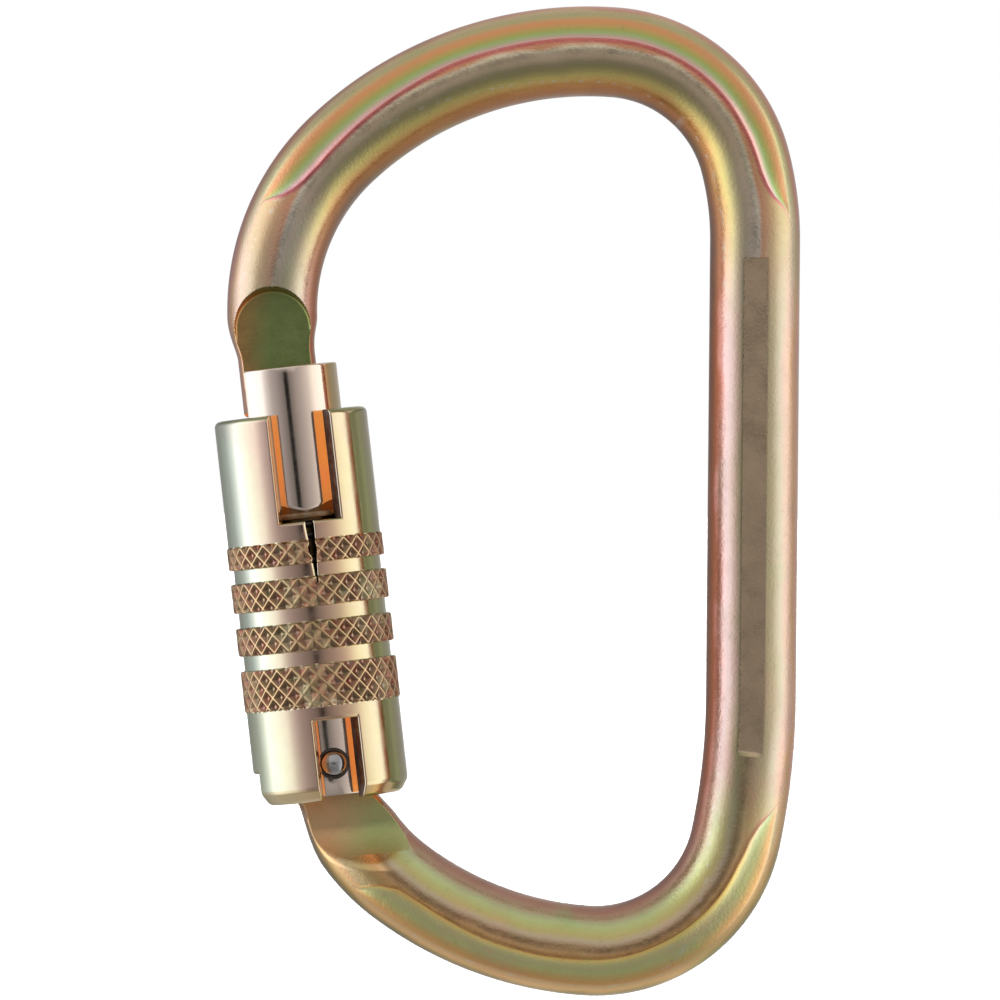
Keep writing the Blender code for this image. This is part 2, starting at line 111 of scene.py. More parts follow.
# ---------------------------------------------------------------- materials
class Net:
    """A short way of writing node trees."""

    def __init__(self, tree):
        self.t = tree

    def n(self, kind, **sets):
        node = self.t.nodes.new(kind)
        for k, v in sets.items():
            setattr(node, k, v)
        return node

    def put(self, socket, value):
        if value is None:
            return
        if isinstance(value, bpy.types.NodeSocket):
            self.t.links.new(value, socket)
        else:
            socket.default_value = value

    def math(self, op, a, b=None, c=None, clamp=False):
        m = self.n("ShaderNodeMath", operation=op, use_clamp=clamp)
        for s, v in zip(m.inputs, (a, b, c)):
            self.put(s, v)
        return m.outputs[0]

    def noise(self, vec, scale, detail=3.0, rough=0.5, distort=0.0):
        m = self.n("ShaderNodeTexNoise")
        self.put(m.inputs["Vector"], vec)
        for k, v in (("Scale", scale), ("Detail", detail), ("Roughness", rough), ("Distortion", distort)):
            self.put(m.inputs[k], v)
        return m.outputs[0]

    def stretch(self, vec, scale):
        m = self.n("ShaderNodeMapping")
        self.put(m.inputs["Vector"], vec)
        m.inputs["Scale"].default_value = scale
        return m.outputs[0]

    def ramp(self, fac, stops, mode="LINEAR"):
        m = self.n("ShaderNodeValToRGB")
        m.color_ramp.interpolation = mode
        e = m.color_ramp.elements
        while len(e) < len(stops):
            e.new(0.5)
        for el, (p, c) in zip(e, stops):
            el.position = p
            el.color = (*c, 1) if not isinstance(c, float) else (c, c, c, 1)
        self.put(m.inputs[0], fac)
        return m.outputs[0]

    def mix(self, fac, a, b, mode="MIX"):
        m = self.n("ShaderNodeMix", data_type="RGBA", blend_type=mode)
        self.put(m.inputs[0], fac)
        self.put(m.inputs[6], a if isinstance(a, bpy.types.NodeSocket) else (*a, 1))
        self.put(m.inputs[7], b if isinstance(b, bpy.types.NodeSocket) else (*b, 1))
        return m.outputs[2]

    def span(self, x, a, b, c=0.0, d=1.0, smooth=True):
        m = self.n("ShaderNodeMapRange", interpolation_type="SMOOTHSTEP" if smooth else "LINEAR")
        for s, v in zip(m.inputs, (x, a, b, c, d)):
            self.put(s, v)
        return m.outputs[0]


def metal(name, bands, tint, tint_amount=0.35, shift=0.16, rough=(0.24, 0.36), grain=0.05, grain_scale=2600.0,
          speck=(0.30, 0.24, 0.15), speck_amount=0.25, wear=(0.80, 0.78, 0.72), wear_amount=0.35, side=None, streak=(1, 1, 1), patch=70.0,
          across=None, groove=None, across_mix=0.8, pit_painted_shade_and_highlight=None, metallic=1.0, tint2=None, gilt=None, band_runs_and_painted_highlights=None, right_side_painted_reflection=None, crown=None, downward_painted_reflection=None, sweep=None, glow=0.0):
    """Plated or polished steel. Its colour follows which way the metal faces, drifts in patches, and carries grain,
    specks and worn edges; optional painted shade, highlights, reflections and glow are laid into the colour as well.
    """
    m = bpy.data.materials.new(name)
    m.use_nodes = True
    t = Net(m.node_tree)
    b = m.node_tree.nodes["Principled BSDF"]
    tc = t.n("ShaderNodeTexCoord")
    sep = t.n("ShaderNodeSeparateXYZ")
    t.put(sep.inputs[0], tc.outputs["Normal"])
    ob = tc.outputs["Object"]
    facing = t.math("ABSOLUTE", sep.outputs[1])
    drift = t.noise(ob, patch, 2.5, 0.55, 0.4)
    drift2 = t.noise(t.stretch(ob, streak), patch * 3.3, 3.0, 0.6, 0.6)
    f = t.math("ADD", facing, t.math("MULTIPLY", t.math("SUBTRACT", drift, 0.5), shift * 2))
    f = t.math("ADD", f, t.math("MULTIPLY", t.math("SUBTRACT", drift2, 0.5), shift * 0.7), clamp=True)
    col = t.ramp(f, bands, "B_SPLINE" if len(bands) > 3 else "LINEAR")
    if across:
        # interference bands that run along the bar, and others that follow its pressed grooves
        at = t.n("ShaderNodeAttribute", attribute_name="across")
        wob = t.math("MULTIPLY", t.math("SUBTRACT", t.noise(ob, patch * 0.7, 3.0, 0.55, 0.5), 0.5), 0.22)
        x_ = t.math("ADD", t.math("MULTIPLY_ADD", at.outputs["Fac"], 0.5, 0.5), wob, clamp=True)
        bandcol = t.ramp(x_, [((p_ + 1) / 2, c_) for p_, c_ in across])
        dug = t.n("ShaderNodeAttribute", attribute_name="dug")
        inner_col = t.ramp(t.math("ADD", dug.outputs["Fac"], t.math("MULTIPLY", wob, 0.4), clamp=True), groove)
        on = t.n("ShaderNodeAttribute", attribute_name="grooved")
        bandcol = t.mix(on.outputs["Fac"], bandcol, inner_col)
        col = t.mix(across_mix, col, bandcol)
    if pit_painted_shade_and_highlight:
        at = t.n("ShaderNodeAttribute", attribute_name="pit")
        # painted shade in the knurl's pits, painted highlights on the net lines and pit floors
        col = t.mix(1.0, col, t.ramp(at.outputs["Fac"], pit_painted_shade_and_highlight), "MULTIPLY")
        # each pit took the plating a little differently
        hue = t.ramp(t.noise(ob, 620.0, 2.0, 0.5), ((0.30, (0.62, 0.80, 0.58)), (0.42, (0.95, 1.0, 0.85)), (0.50, (1.0, 0.90, 0.86)), (0.58, (1.12, 0.72, 0.62)), (0.70, (1.15, 1.1, 1.3))))
        col = t.mix(t.span(at.outputs["Fac"], 0.08, 0.25, 0.0, 0.85), col, t.mix(1.0, col, hue, "MULTIPLY"))
    if side:
        # left-facing and right-facing surfaces get slightly different tints
        col = t.mix(t.span(sep.outputs[0], -0.75, 0.75), t.mix(1.0, col, side[0], "MULTIPLY"), t.mix(1.0, col, side[1], "MULTIPLY"))
    spread = t.noise(ob, patch * 0.55, 4.0, 0.6, 1.1)
    col = t.mix(t.math("MULTIPLY", t.span(spread, 0.52, 0.72), tint_amount), col, tint)
    if tint2:
        rosy = t.noise(t.stretch(ob, (1.0, 1.0, 1.4)), patch * 0.8, 3.0, 0.6, 0.9)
        col = t.mix(t.math("MULTIPLY", t.span(rosy, 0.50, 0.66), tint2[1]), col, tint2[0])
    if right_side_painted_reflection:
        # painted reflection: where the metal turns away to its right-hand side its colour is darkened in a band
        col = t.mix(1.0, col, t.ramp(sep.outputs[0], right_side_painted_reflection), "MULTIPLY")
    # painted shade: surfaces that face upwards are darkened towards olive
    if crown:
        col = t.mix(t.span(sep.outputs[2], crown[0], crown[1]), col, t.mix(1.0, col, crown[2], "MULTIPLY"))
    # painted reflection: surfaces that face downwards are tinted warmer and darker
    if downward_painted_reflection:
        col = t.mix(t.span(sep.outputs[2], downward_painted_reflection[0], downward_painted_reflection[1]), col, t.mix(1.0, col, downward_painted_reflection[2], "MULTIPLY"))
    if sweep:
        # the plating changes from one side of the flat to the other
        place = t.n("ShaderNodeSeparateXYZ")
        t.put(place.inputs[0], ob)
        along = t.math("ADD", place.outputs[0], t.math("MULTIPLY", t.math("SUBTRACT", t.noise(ob, 160.0, 3.0), 0.5), 0.004))
        col = t.mix(t.span(along, sweep[0], sweep[1]), t.mix(1.0, col, sweep[2], "MULTIPLY"), t.mix(1.0, col, sweep[3], "MULTIPLY"))
    if gilt:
        # the top of the ring came out of the bath more golden than the rest
        place = t.n("ShaderNodeSeparateXYZ")
        t.put(place.inputs[0], ob)
        col = t.mix(t.math("MULTIPLY", t.span(place.outputs[2], -0.030, -0.004), 0.9), col, t.mix(1.0, col, gilt[0], "MULTIPLY"))
        col = t.mix(t.math("MULTIPLY", t.span(place.outputs[2], -0.088, -0.108), 0.9), col, t.mix(1.0, col, gilt[1], "MULTIPLY"))
        # each stretch of the ring has its own run of bands, along the bar and in the grooves: interference colour with
        # painted highlights where the stops multiply well above one
        high_up = t.span(place.outputs[2], -0.034, -0.012)
        low_down = t.span(place.outputs[2], -0.086, -0.106)
        own = t.mix(low_down, t.mix(high_up, t.ramp(x_, [((p_ + 1) / 2, c_) for p_, c_ in band_runs_and_painted_highlights[0]]), t.ramp(x_, [((p_ + 1) / 2, c_) for p_, c_ in band_runs_and_painted_highlights[1]])),
                    t.ramp(x_, [((p_ + 1) / 2, c_) for p_, c_ in band_runs_and_painted_highlights[2]]))
        dug_at = t.math("ADD", dug.outputs["Fac"], t.math("MULTIPLY", wob, 0.4), clamp=True)
        pressed = t.mix(low_down, t.ramp(dug_at, band_runs_and_painted_highlights[3]), t.ramp(dug_at, band_runs_and_painted_highlights[4]))
        col = t.mix(1.0, col, t.mix(on.outputs["Fac"], own, pressed), "MULTIPLY")
    fine = t.noise(ob, grain_scale * 0.42, 4.0, 0.7)
    col = t.mix(t.math("MULTIPLY", t.span(fine, 0.55, 0.78), speck_amount), col, speck)
    soft = t.noise(ob, grain_scale * 0.12, 3.0, 0.6)
    col = t.mix(t.math("MULTIPLY", t.span(soft, 0.40, 0.70), 0.14), col, (1.0, 0.96, 0.88), "MULTIPLY")
    geo = t.n("ShaderNodeNewGeometry")
    edge = t.span(geo.outputs["Pointiness"], 0.515, 0.60)
    col = t.mix(t.math("MULTIPLY", edge, t.math("MULTIPLY", t.span(fine, 0.3, 0.65), wear_amount)), col, wear)
    t.put(b.inputs["Base Color"], col)
    b.inputs["Metallic"].default_value = metallic
    if glow:
        # stands in for the light that bounces many times inside the bore
        t.put(b.inputs["Emission Color"], col)
        b.inputs["Emission Strength"].default_value = glow
    r = t.span(t.noise(ob, patch * 4, 4.0, 0.65), 0.3, 0.7, rough[0], rough[1])
    t.put(b.inputs["Roughness"], t.math("ADD", r, t.math("MULTIPLY", t.math("SUBTRACT", fine, 0.5), 0.10)))
    bump = t.n("ShaderNodeBump")
    bump.inputs["Strength"].default_value = grain
    bump.inputs["Distance"].default_value = 0.0002
    t.put(bump.inputs["Height"], t.math("ADD", t.noise(ob, grain_scale, 3.0, 0.6), t.math("MULTIPLY", soft, 0.6)))
    t.put(b.inputs["Normal"], bump.outputs[0])
    m.diffuse_color = (*tint, 1)
    return m


m_frame = metal("frame_plating",
                ((0.0, (0.46, 0.30, 0.26)), (0.22, (0.60, 0.40, 0.34)), (0.40, (0.70, 0.52, 0.40)), (0.58, (0.74, 0.64, 0.44)),
                 (0.74, (0.66, 0.64, 0.42)), (0.88, (0.54, 0.50, 0.34)), (1.0, (0.50, 0.43, 0.31))),
                (0.48, 0.58, 0.28), tint_amount=0.42, shift=0.10, rough=(0.21, 0.30), grain=0.16, grain_scale=2400, patch=75,
                side=((1.04, 0.94, 0.92), (1.02, 0.98, 0.90)),
                across=((-1.0, (0.42, 0.22, 0.17)), (-0.88, (0.60, 0.31, 0.24)), (-0.74, (0.82, 0.56, 0.44)), (-0.56, (0.82, 0.74, 0.56)), (-0.36, (0.60, 0.58, 0.38)),
                        (-0.12, (0.54, 0.46, 0.34)), (0.10, (0.60, 0.48, 0.37)), (0.32, (0.56, 0.54, 0.36)), (0.56, (0.66, 0.62, 0.44)), (0.72, (0.82, 0.60, 0.44)), (0.84, (1.0, 0.72, 0.52)), (0.93, (0.86, 0.58, 0.46)), (1.0, (0.70, 0.50, 0.46))),
                groove=((0.0, (0.74, 0.62, 0.52)), (0.09, (0.86, 0.56, 0.36)), (0.22, (0.92, 0.50, 0.28)), (0.38, (0.76, 0.60, 0.30)), (0.56, (0.54, 0.66, 0.30)), (0.72, (0.62, 0.64, 0.44)),
                        (0.82, (0.80, 0.52, 0.50)), (0.93, (0.90, 0.36, 0.34)), (1.0, (0.72, 0.26, 0.24))),
                tint2=((0.72, 0.44, 0.36), 0.25), gilt=((1.0, 0.86, 0.62), (0.98, 0.94, 0.74)),
                # runs of bands for the top, middle and bottom of the ring and for their grooves; stops well above one
                # are painted highlights
                band_runs_and_painted_highlights=(((-1.0, (0.75, 0.50, 0.34)), (-0.93, (0.80, 0.55, 0.36)), (-0.86, (0.78, 0.46, 0.34)), (-0.78, (1.05, 0.78, 0.88)), (-0.69, (1.08, 1.03, 1.35)), (-0.58, (0.86, 0.82, 1.08)),
                       (-0.42, (0.92, 0.80, 1.0)), (-0.31, (0.80, 0.76, 0.80)), (-0.20, (0.60, 0.74, 0.56)), (-0.08, (0.80, 0.86, 0.72)), (0.04, (1.05, 1.05, 0.95)), (0.20, (1.1, 1.08, 1.05)),
                       (0.40, (0.90, 0.85, 0.86)), (0.60, (1.0, 1.0, 1.18)), (0.78, (1.0, 0.95, 1.15)), (0.87, (0.95, 0.85, 0.75)), (0.95, (1.05, 0.92, 0.92))),
                      ((-1.0, (0.70, 0.85, 0.95)), (-0.93, (0.84, 0.86, 0.80)), (-0.81, (0.84, 0.74, 0.56)), (-0.70, (0.94, 0.92, 0.66)), (-0.55, (0.90, 1.02, 0.70)), (-0.40, (0.78, 0.90, 0.90)),
                       (-0.28, (0.90, 1.0, 1.3)), (-0.12, (1.5, 1.7, 2.3)), (0.02, (1.7, 2.2, 3.0)), (0.12, (1.3, 0.95, 1.0)), (0.60, (1.0, 1.0, 1.0)), (0.79, (0.84, 1.12, 1.35)),
                       (0.88, (0.82, 0.96, 1.05)), (0.95, (0.95, 0.80, 1.0)), (1.0, (1.0, 0.84, 1.1))),
                      ((-1.0, (0.80, 0.76, 0.90)), (-0.88, (0.88, 0.86, 1.05)), (-0.77, (0.84, 0.98, 1.15)), (-0.64, (0.80, 1.10, 1.05)), (-0.50, (0.86, 1.12, 0.86)), (-0.35, (1.1, 1.12, 0.90)),
                       (-0.21, (1.2, 1.2, 1.5)), (-0.08, (0.95, 0.82, 0.78)), (0.04, (1.75, 1.5, 1.3)), (0.14, (1.5, 1.2, 0.9)), (0.60, (1.0, 1.0, 1.0)), (0.79, (1.35, 1.2, 1.0)), (0.91, (0.72, 0.84, 0.52)), (1.0, (0.50, 0.64, 0.46))),
                      ((0.0, (0.86, 1.12, 1.05)), (0.12, (0.92, 1.0, 1.1)), (0.28, (1.0, 0.92, 0.98)), (0.50, (0.88, 0.98, 0.86)), (0.66, (0.78, 1.10, 1.12)), (0.80, (0.95, 1.15, 1.4)), (0.92, (1.15, 1.5, 2.4)), (1.0, (1.2, 0.85, 1.35))),
                      ((0.0, (1.15, 1.05, 0.90)), (0.10, (1.15, 1.08, 0.90)), (0.24, (1.12, 1.48, 1.30)), (0.42, (1.25, 1.60, 1.80)), (0.60, (1.55, 1.45, 1.80)), (0.76, (1.30, 1.52, 1.2)), (0.86, (1.1, 1.6, 0.9)), (0.94, (1.0, 1.6, 0.85)), (1.0, (1.1, 1.5, 0.9)))),
                across_mix=0.78)
m_nose_flat = metal("nose_flat_plating", ((0.0, (0.60, 0.34, 0.18)), (0.45, (0.48, 0.33, 0.16)), (0.8, (0.36, 0.36, 0.16)), (1.0, (0.25, 0.28, 0.13))),
                    (0.34, 0.24, 0.12), tint_amount=0.35, shift=0.08, rough=(0.30, 0.42), grain=0.14, grain_scale=2600, patch=120, wear=(0.80, 0.52, 0.28), wear_amount=0.5,
                    sweep=(-0.0462, -0.0418, (1.7, 1.0, 0.85), (0.92, 1.08, 0.88)))
m_hinge_flat = metal("hinge_flat_plating", ((0.0, (0.62, 0.40, 0.28)), (0.5, (0.62, 0.46, 0.28)), (0.85, (0.60, 0.48, 0.29)), (1.0, (0.55, 0.45, 0.28))),
                     (0.42, 0.48, 0.22), tint_amount=0.45, shift=0.12, rough=(0.34, 0.46), grain=0.16, grain_scale=2600, patch=95, wear=(0.85, 0.66, 0.46), wear_amount=0.6,
                     sweep=(-0.0345, -0.0265, (1.22, 0.98, 0.86), (0.86, 1.08, 0.80)))
m_pad = metal("spine_flat_plating", ((0.0, (0.62, 0.47, 0.33)), (1.0, (0.66, 0.50, 0.35))),
              (0.50, 0.46, 0.30), tint_amount=0.7, shift=0.10, rough=(0.26, 0.36), grain=0.16, grain_scale=2400, patch=60)
m_sleeve = metal("sleeve_plating",
                 ((0.0, (0.54, 0.54, 0.44)), (0.25, (0.62, 0.63, 0.46)), (0.45, (0.80, 0.79, 0.64)), (0.68, (0.84, 0.80, 0.66)),
                  (0.82, (0.74, 0.68, 0.46)), (0.92, (0.74, 0.52, 0.40)), (1.0, (0.66, 0.44, 0.36))),
                 (0.66, 0.66, 0.38), tint_amount=0.35, shift=0.07, rough=(0.13, 0.22), grain=0.03, grain_scale=3200, patch=70, speck_amount=0.08,
                 side=((0.95, 1.04, 1.14), (1.02, 0.95, 0.78)), wear_amount=0.15, tint2=((0.78, 0.58, 0.52), 0.25),
                 # painted reflection: a dark olive band on surfaces turned to the right
                 right_side_painted_reflection=((0.0, (1.0, 1.0, 1.0)), (0.742, (1.0, 1.0, 1.0)), (0.768, (0.52, 0.62, 0.42)), (0.80, (0.30, 0.34, 0.23)), (0.83, (0.38, 0.42, 0.29)), (0.87, (0.56, 0.64, 0.45)), (0.92, (0.58, 0.60, 0.54)), (1.0, (0.60, 0.60, 0.66))),
                 # painted shade on upward-facing surfaces, painted reflection tint on downward-facing ones
                 crown=(0.22, 0.60, (0.50, 0.54, 0.36)), downward_painted_reflection=(-0.20, -0.45, (1.05, 0.84, 0.66)))
m_knurl = metal("sleeve_knurl",
                ((0.0, (0.66, 0.44, 0.38)), (0.3, (0.74, 0.50, 0.42)), (0.6, (0.76, 0.56, 0.44)), (0.8, (0.72, 0.56, 0.40)), (1.0, (0.70, 0.54, 0.38))),
                (0.62, 0.60, 0.38), tint_amount=0.5, shift=0.20, rough=(0.16, 0.26), grain=0.04, grain_scale=3200, patch=300, speck_amount=0.10,
                wear=(0.98, 0.88, 0.56), wear_amount=0.3,
                # pits painted dark, net lines and pit floors painted bright
                pit_painted_shade_and_highlight=((0.0, (1.15, 1.10, 0.84)), (0.07, (1.0, 0.92, 0.70)), (0.17, (0.48, 0.40, 0.36)), (0.62, (0.30, 0.25, 0.24)), (0.84, (0.52, 0.46, 0.48)), (1.0, (1.3, 1.22, 1.28))))
# orange plated bore with a painted glow: its emission stands in for light bouncing inside the bore
m_inner = metal("sleeve_bore_plating_painted_glow", ((0.0, (1.0, 0.48, 0.12)), (0.5, (1.0, 0.55, 0.15)), (1.0, (0.96, 0.46, 0.14))),
                (1.0, 0.36, 0.22), tint_amount=0.6, shift=0.12, rough=(0.42, 0.58), grain=0.08, grain_scale=2600, patch=110, speck_amount=0.08, metallic=0.08, glow=0.40)
m_wall = metal("sleeve_slot_plating", ((0.0, (0.86, 0.50, 0.22)), (0.5, (0.90, 0.54, 0.26)), (1.0, (0.84, 0.48, 0.24))),
               (0.55, 0.30, 0.18), tint_amount=0.5, shift=0.12, rough=(0.16, 0.26), grain=0.05, grain_scale=2600, patch=110, speck_amount=0.08)
# near-black painted shadow for the slit's walls and the shaded bore
m_slit = metal("slit_painted_shadow", ((0.0, (0.02, 0.018, 0.015)), (1.0, (0.03, 0.025, 0.02))), (0.02, 0.015, 0.01), tint_amount=0.4, rough=(0.4, 0.6), grain=0.1, patch=200, wear_amount=0.1)
# dark painted shadow for the right-hand walls of the slot and the window
m_edge = metal("slot_edge_painted_shadow", ((0.0, (0.07, 0.045, 0.035)), (0.5, (0.10, 0.06, 0.045)), (1.0, (0.06, 0.04, 0.035))), (0.12, 0.06, 0.04), tint_amount=0.5, rough=(0.3, 0.5), grain=0.08, patch=200, wear_amount=0.1)
# near-black painted shade for the sleeve spring seen inside the slot
m_wire = metal("sleeve_spring_wire_painted_shade", ((0.0, (0.04, 0.035, 0.03)), (1.0, (0.07, 0.06, 0.05))), (0.03, 0.025, 0.02), tint_amount=0.4, rough=(0.35, 0.5), grain=0.08, patch=200, wear_amount=0.1)
# dark brown painted shade for the recessed neck and the washer under the collar
m_neck = metal("neck_painted_shade", ((0.0, (0.19, 0.11, 0.05)), (1.0, (0.24, 0.14, 0.065))), (0.14, 0.10, 0.05), tint_amount=0.5, rough=(0.3, 0.44), grain=0.1, patch=200, wear_amount=0.2)
m_tube = metal("gate_plating", ((0.0, (0.62, 0.50, 0.38)), (0.35, (0.84, 0.76, 0.68)), (0.7, (0.88, 0.82, 0.76)), (1.0, (0.82, 0.72, 0.67))),
               (0.84, 0.72, 0.66), tint_amount=0.3, shift=0.08, rough=(0.07, 0.13), grain=0.02, grain_scale=3600, patch=90, speck_amount=0.06,
               side=((1.0, 0.98, 0.97), (1.04, 0.95, 0.86)),
               # painted reflection: orange and dark bands on surfaces turned to the right
               right_side_painted_reflection=((0.0, (1.0, 1.0, 1.0)), (0.735, (1.0, 1.0, 1.0)), (0.765, (0.62, 0.42, 0.24)), (0.79, (0.54, 0.37, 0.20)), (0.84, (0.62, 0.55, 0.36)), (0.90, (0.68, 0.66, 0.50)), (1.0, (0.90, 0.92, 0.88))))
m_rivet = metal("rivet_steel", ((0.0, (0.34, 0.33, 0.34)), (1.0, (0.50, 0.50, 0.52))), (0.36, 0.32, 0.30), tint_amount=0.4, shift=0.1,
                rough=(0.12, 0.2), grain=0.05, grain_scale=3600, patch=400)
m_steel = metal("spring_wire", ((0.0, (0.42, 0.40, 0.38)), (1.0, (0.55, 0.53, 0.50))), (0.40, 0.36, 0.32), tint_amount=0.4, rough=(0.22, 0.34), grain=0.08, patch=200)
m_ring = metal("seat_ring_plating", ((0.0, (0.42, 0.32, 0.16)), (1.0, (0.50, 0.38, 0.20))), (0.36, 0.28, 0.14), tint_amount=0.5, rough=(0.28, 0.42), grain=0.1, patch=200)
m_plunger = metal("plunger_plating", ((0.0, (0.50, 0.45, 0.30)), (1.0, (0.60, 0.54, 0.38))), (0.48, 0.40, 0.24), tint_amount=0.4, rough=(0.26, 0.38), grain=0.08, patch=200)


# ---------------------------------------------------------------- frame
def arc_path(x, z, heading, arcs, side, ds=0.1):
    out = [(x, z, heading)]
    for R, deg in arcs:
        n = max(2, int(R * radians(deg) / ds))
        cx, cz = x - sin(heading) * side * R, z + cos(heading) * side * R
        for i in range(1, n + 1):
            h = heading + side * radians(deg) * i / n
            out.append((cx + sin(h) * side * R, cz - cos(h) * side * R, h))
        x, z, heading = out[-1]
    return out


top = arc_path(SPINE_X, SPINE_TOP, pi / 2, TOP_ARCS, +1)
bottom = arc_path(SPINE_X, SPINE_TOP - SPINE_LEN, -pi / 2, BOTTOM_ARCS, -1)
centre = [(x, z) for x, z, h in reversed(bottom)]
n_bottom = len(centre)
centre += [(SPINE_X, SPINE_TOP - SPINE_LEN + SPINE_LEN * i / 610) for i in range(1, 610)]
centre += [(x, z) for x, z, h in top]
C = np.array(centre)
S = np.concatenate([[0], np.cumsum(np.linalg.norm(np.diff(C, axis=0), axis=1))])
S_SPINE0, S_SPINE1, S_END = S[n_bottom - 1], S[n_bottom - 1] + SPINE_LEN, S[-1]


def local(P):
    d = P - np.array([GATE_X, GATE_Z])
    return d @ np.array([cos(tilt), sin(tilt)]), d @ np.array([-sin(tilt), cos(tilt)])


v_end, u_end = local(C[-1])
# the nose runs straight on inside the gate, easing towards its own axis
tail_u = np.linspace(u_end, SLEEVE_TOP + 0.2, 108)[1:]
k = np.clip((u_end - tail_u) / 3.0, 0, 1)
k = k * k * (3 - 2 * k)
tail_v = v_end + (-0.95 - v_end) * k
tail = np.array([GATE_X, GATE_Z]) + tail_v[:, None] * np.array([cos(tilt), sin(tilt)]) + tail_u[:, None] * np.array([-sin(tilt), cos(tilt)])
keep = (local(C)[0] > 12) | (local(C)[1] < -1.5)
S_START = S[np.argmax(keep)]
C = np.concatenate([C, tail])
S = np.concatenate([[0], np.cumsum(np.linalg.norm(np.diff(C, axis=0), axis=1))])

# stations: close together where something is milled or pressed
def spacing(s):
    if s < 26:
        return 0.14
    if S_SPINE0 - 10 < s < S_SPINE0 + 1:
        return 0.3
    if abs(s - (S_SPINE0 + (-80.10 - PAD_BOTTOM) * -1)) < 1.2 or abs(s - (S_SPINE1 + (PAD_TOP - SPINE_TOP))) < 1.2:
        return 0.12
    if S_SPINE0 < s < S_SPINE1 - 1:
        return 0.7
    if s > S_END - 12:
        return 0.10
    return 0.33


st = [S_START]
while st[-1] < S[-1] - 0.1:
    s = st[-1]
    st.append(s + min(spacing(s), spacing(s + 0.4) * 1.3))
st = np.array([s for s in st if s < S[-1] - 0.05] + [S[-1]])
P = np.stack([np.interp(st, S, C[:, 0]), np.interp(st, S, C[:, 1])], 1)
big = np.stack([np.interp(st + 0.6, S, C[:, 0]) - np.interp(st - 0.6, S, C[:, 0]), np.interp(st + 0.6, S, C[:, 1]) - np.interp(st - 0.6, S, C[:, 1])], 1)
T = big / np.linalg.norm(big, axis=1)[:, None]
Nn = np.stack([T[:, 1], -T[:, 0]], 1)                 # towards the outside of the ring
pv, pu = local(P)
rad = np.full(len(st), BAR_R)
near = np.where(pv < 12, np.clip((pu + 11.0) / 7.0, 0, 1), 0) * (pu < 20)
near = near * near * (3 - 2 * near)
rad -= (BAR_R - HINGE_R) * near
e = np.clip((st - (S_END - 2.5)) / 5.5, 0, 1)
rad -= (BAR_R - NOSE_R) * (e * e * (3 - 2 * e))
end_round = np.clip((S[-1] - st) / 0.5, 0, 1)
rad *= 1 - 0.06 * (1 - end_round) ** 2

# the pressed grooves: how far out their inner lip stands, along the bar
LIP = ((12.0, 4.45), (16.8, 4.45), (17.5, 4.06), (18.3, 2.9), (19.2, 1.8), (21.3, 0.70), (24.6, 0.56), (28.3, 0.72), (34.0, 1.05), (41.7, 1.12), (48.7, 0.88), (56.5, 0.66), (63.0, 0.74),
       (67.5, 0.93), (71.8, 1.10), (75.1, 1.66), (77.3, 2.56), (79.0, 3.7), (80.0, 4.40), (86.0, 4.45), (100, 1.3), (138, 1.3), (152.0, 4.45), (157.6, 4.45), (158.6, 4.1), (160.1, 2.67),
       (161.6, 2.0), (163.4, 1.59), (166.4, 1.36), (170, 1.20), (179, 1.27), (186, 1.28), (196, 1.46), (211, 1.42), (218, 1.10), (226, 0.72), (229.1, 0.57), (233.1, 0.52), (235.8, 0.90),
       (237.4, 1.45), (238.8, 2.35), (239.9, 3.7), (240.6, 4.45), (246, 4.45), (260, 2.0), (275, 2.0))
lip_s = np.array([a for a, b in LIP])
lip_o = np.array([b for a, b in LIP])
fine_s = np.arange(0, 275, 0.1)
lo = np.interp(fine_s, lip_s, lip_o)
kern = np.hanning(13)
kern /= kern.sum()
lo = np.convolve(np.pad(lo, 6, mode="edge"), kern, "valid")
lip = np.interp(st, fine_s, lo)
OUTER = 4.52
depth_s = ((16.8, 0.0), (18.0, 0.34), (20.5, 0.72), (26, 0.96), (32, 1.0), (66, 1.0), (73, 0.90), (77.5, 0.50), (80.2, 0.0), (157.4, 0.0), (159.2, 0.40), (163, 0.80), (170, 1.0), (226, 1.0), (233, 0.92), (237.5, 0.60),
           (239.6, 0.30), (240.8, 0.0))
depth = np.interp(st, [a for a, b in depth_s], [b for a, b in depth_s]) * 0.66
phi0 = np.degrees(np.arcsin(lip / BAR_R))
phi1 = np.degrees(np.arcsin(np.maximum(OUTER, lip + 0.08) / BAR_R)) + 1.0

n1, n2, n3 = 26, 44, 78
seg1 = np.linspace(0, 1, n1, endpoint=False)
seg2 = np.linspace(0, 1, n2, endpoint=False)
seg3 = np.linspace(0, 1, n3, endpoint=False)
ns = len(st)
phi = np.concatenate([90 + (phi1[:, None] - 90) * seg1, phi1[:, None] + (phi0 - phi1)[:, None] * seg2, phi0[:, None] + (-90 - phi0)[:, None] * (seg3 ** 1.0)], 1)
half_cols = phi.shape[1]
t = np.clip((phi1[:, None] - phi) / (phi1 - phi0)[:, None], 0, 1)      # 0 at the outer edge, 1 at the lip
inside = (phi <= phi1[:, None]) & (phi >= phi0[:, None])
tt = 1 - t
f = tt ** 0.62 * (1 - tt) ** 1.35
f /= (0.3147 ** 0.62 * (1 - 0.3147) ** 1.35)
dig = np.where(inside, f, 0) * depth[:, None]
bead = 0.055 * np.exp(-((phi - phi0[:, None]) / 2.6) ** 2) * (phi < phi0[:, None] + 0.01) * np.clip(depth[:, None] / 0.5, 0, 1)
rr = rad[:, None] - dig + bead
a = np.radians(phi)
off = rr * np.sin(a)          # outward
yy = rr * np.cos(a)           # towards the face (positive = towards that face)


def smin(a, b, k):
    """The lower of two heights, with their meeting edge rounded over k."""
    h = np.maximum(k - np.abs(a - b), 0) / k
    return np.minimum(a, b) - h * h * k * 0.25


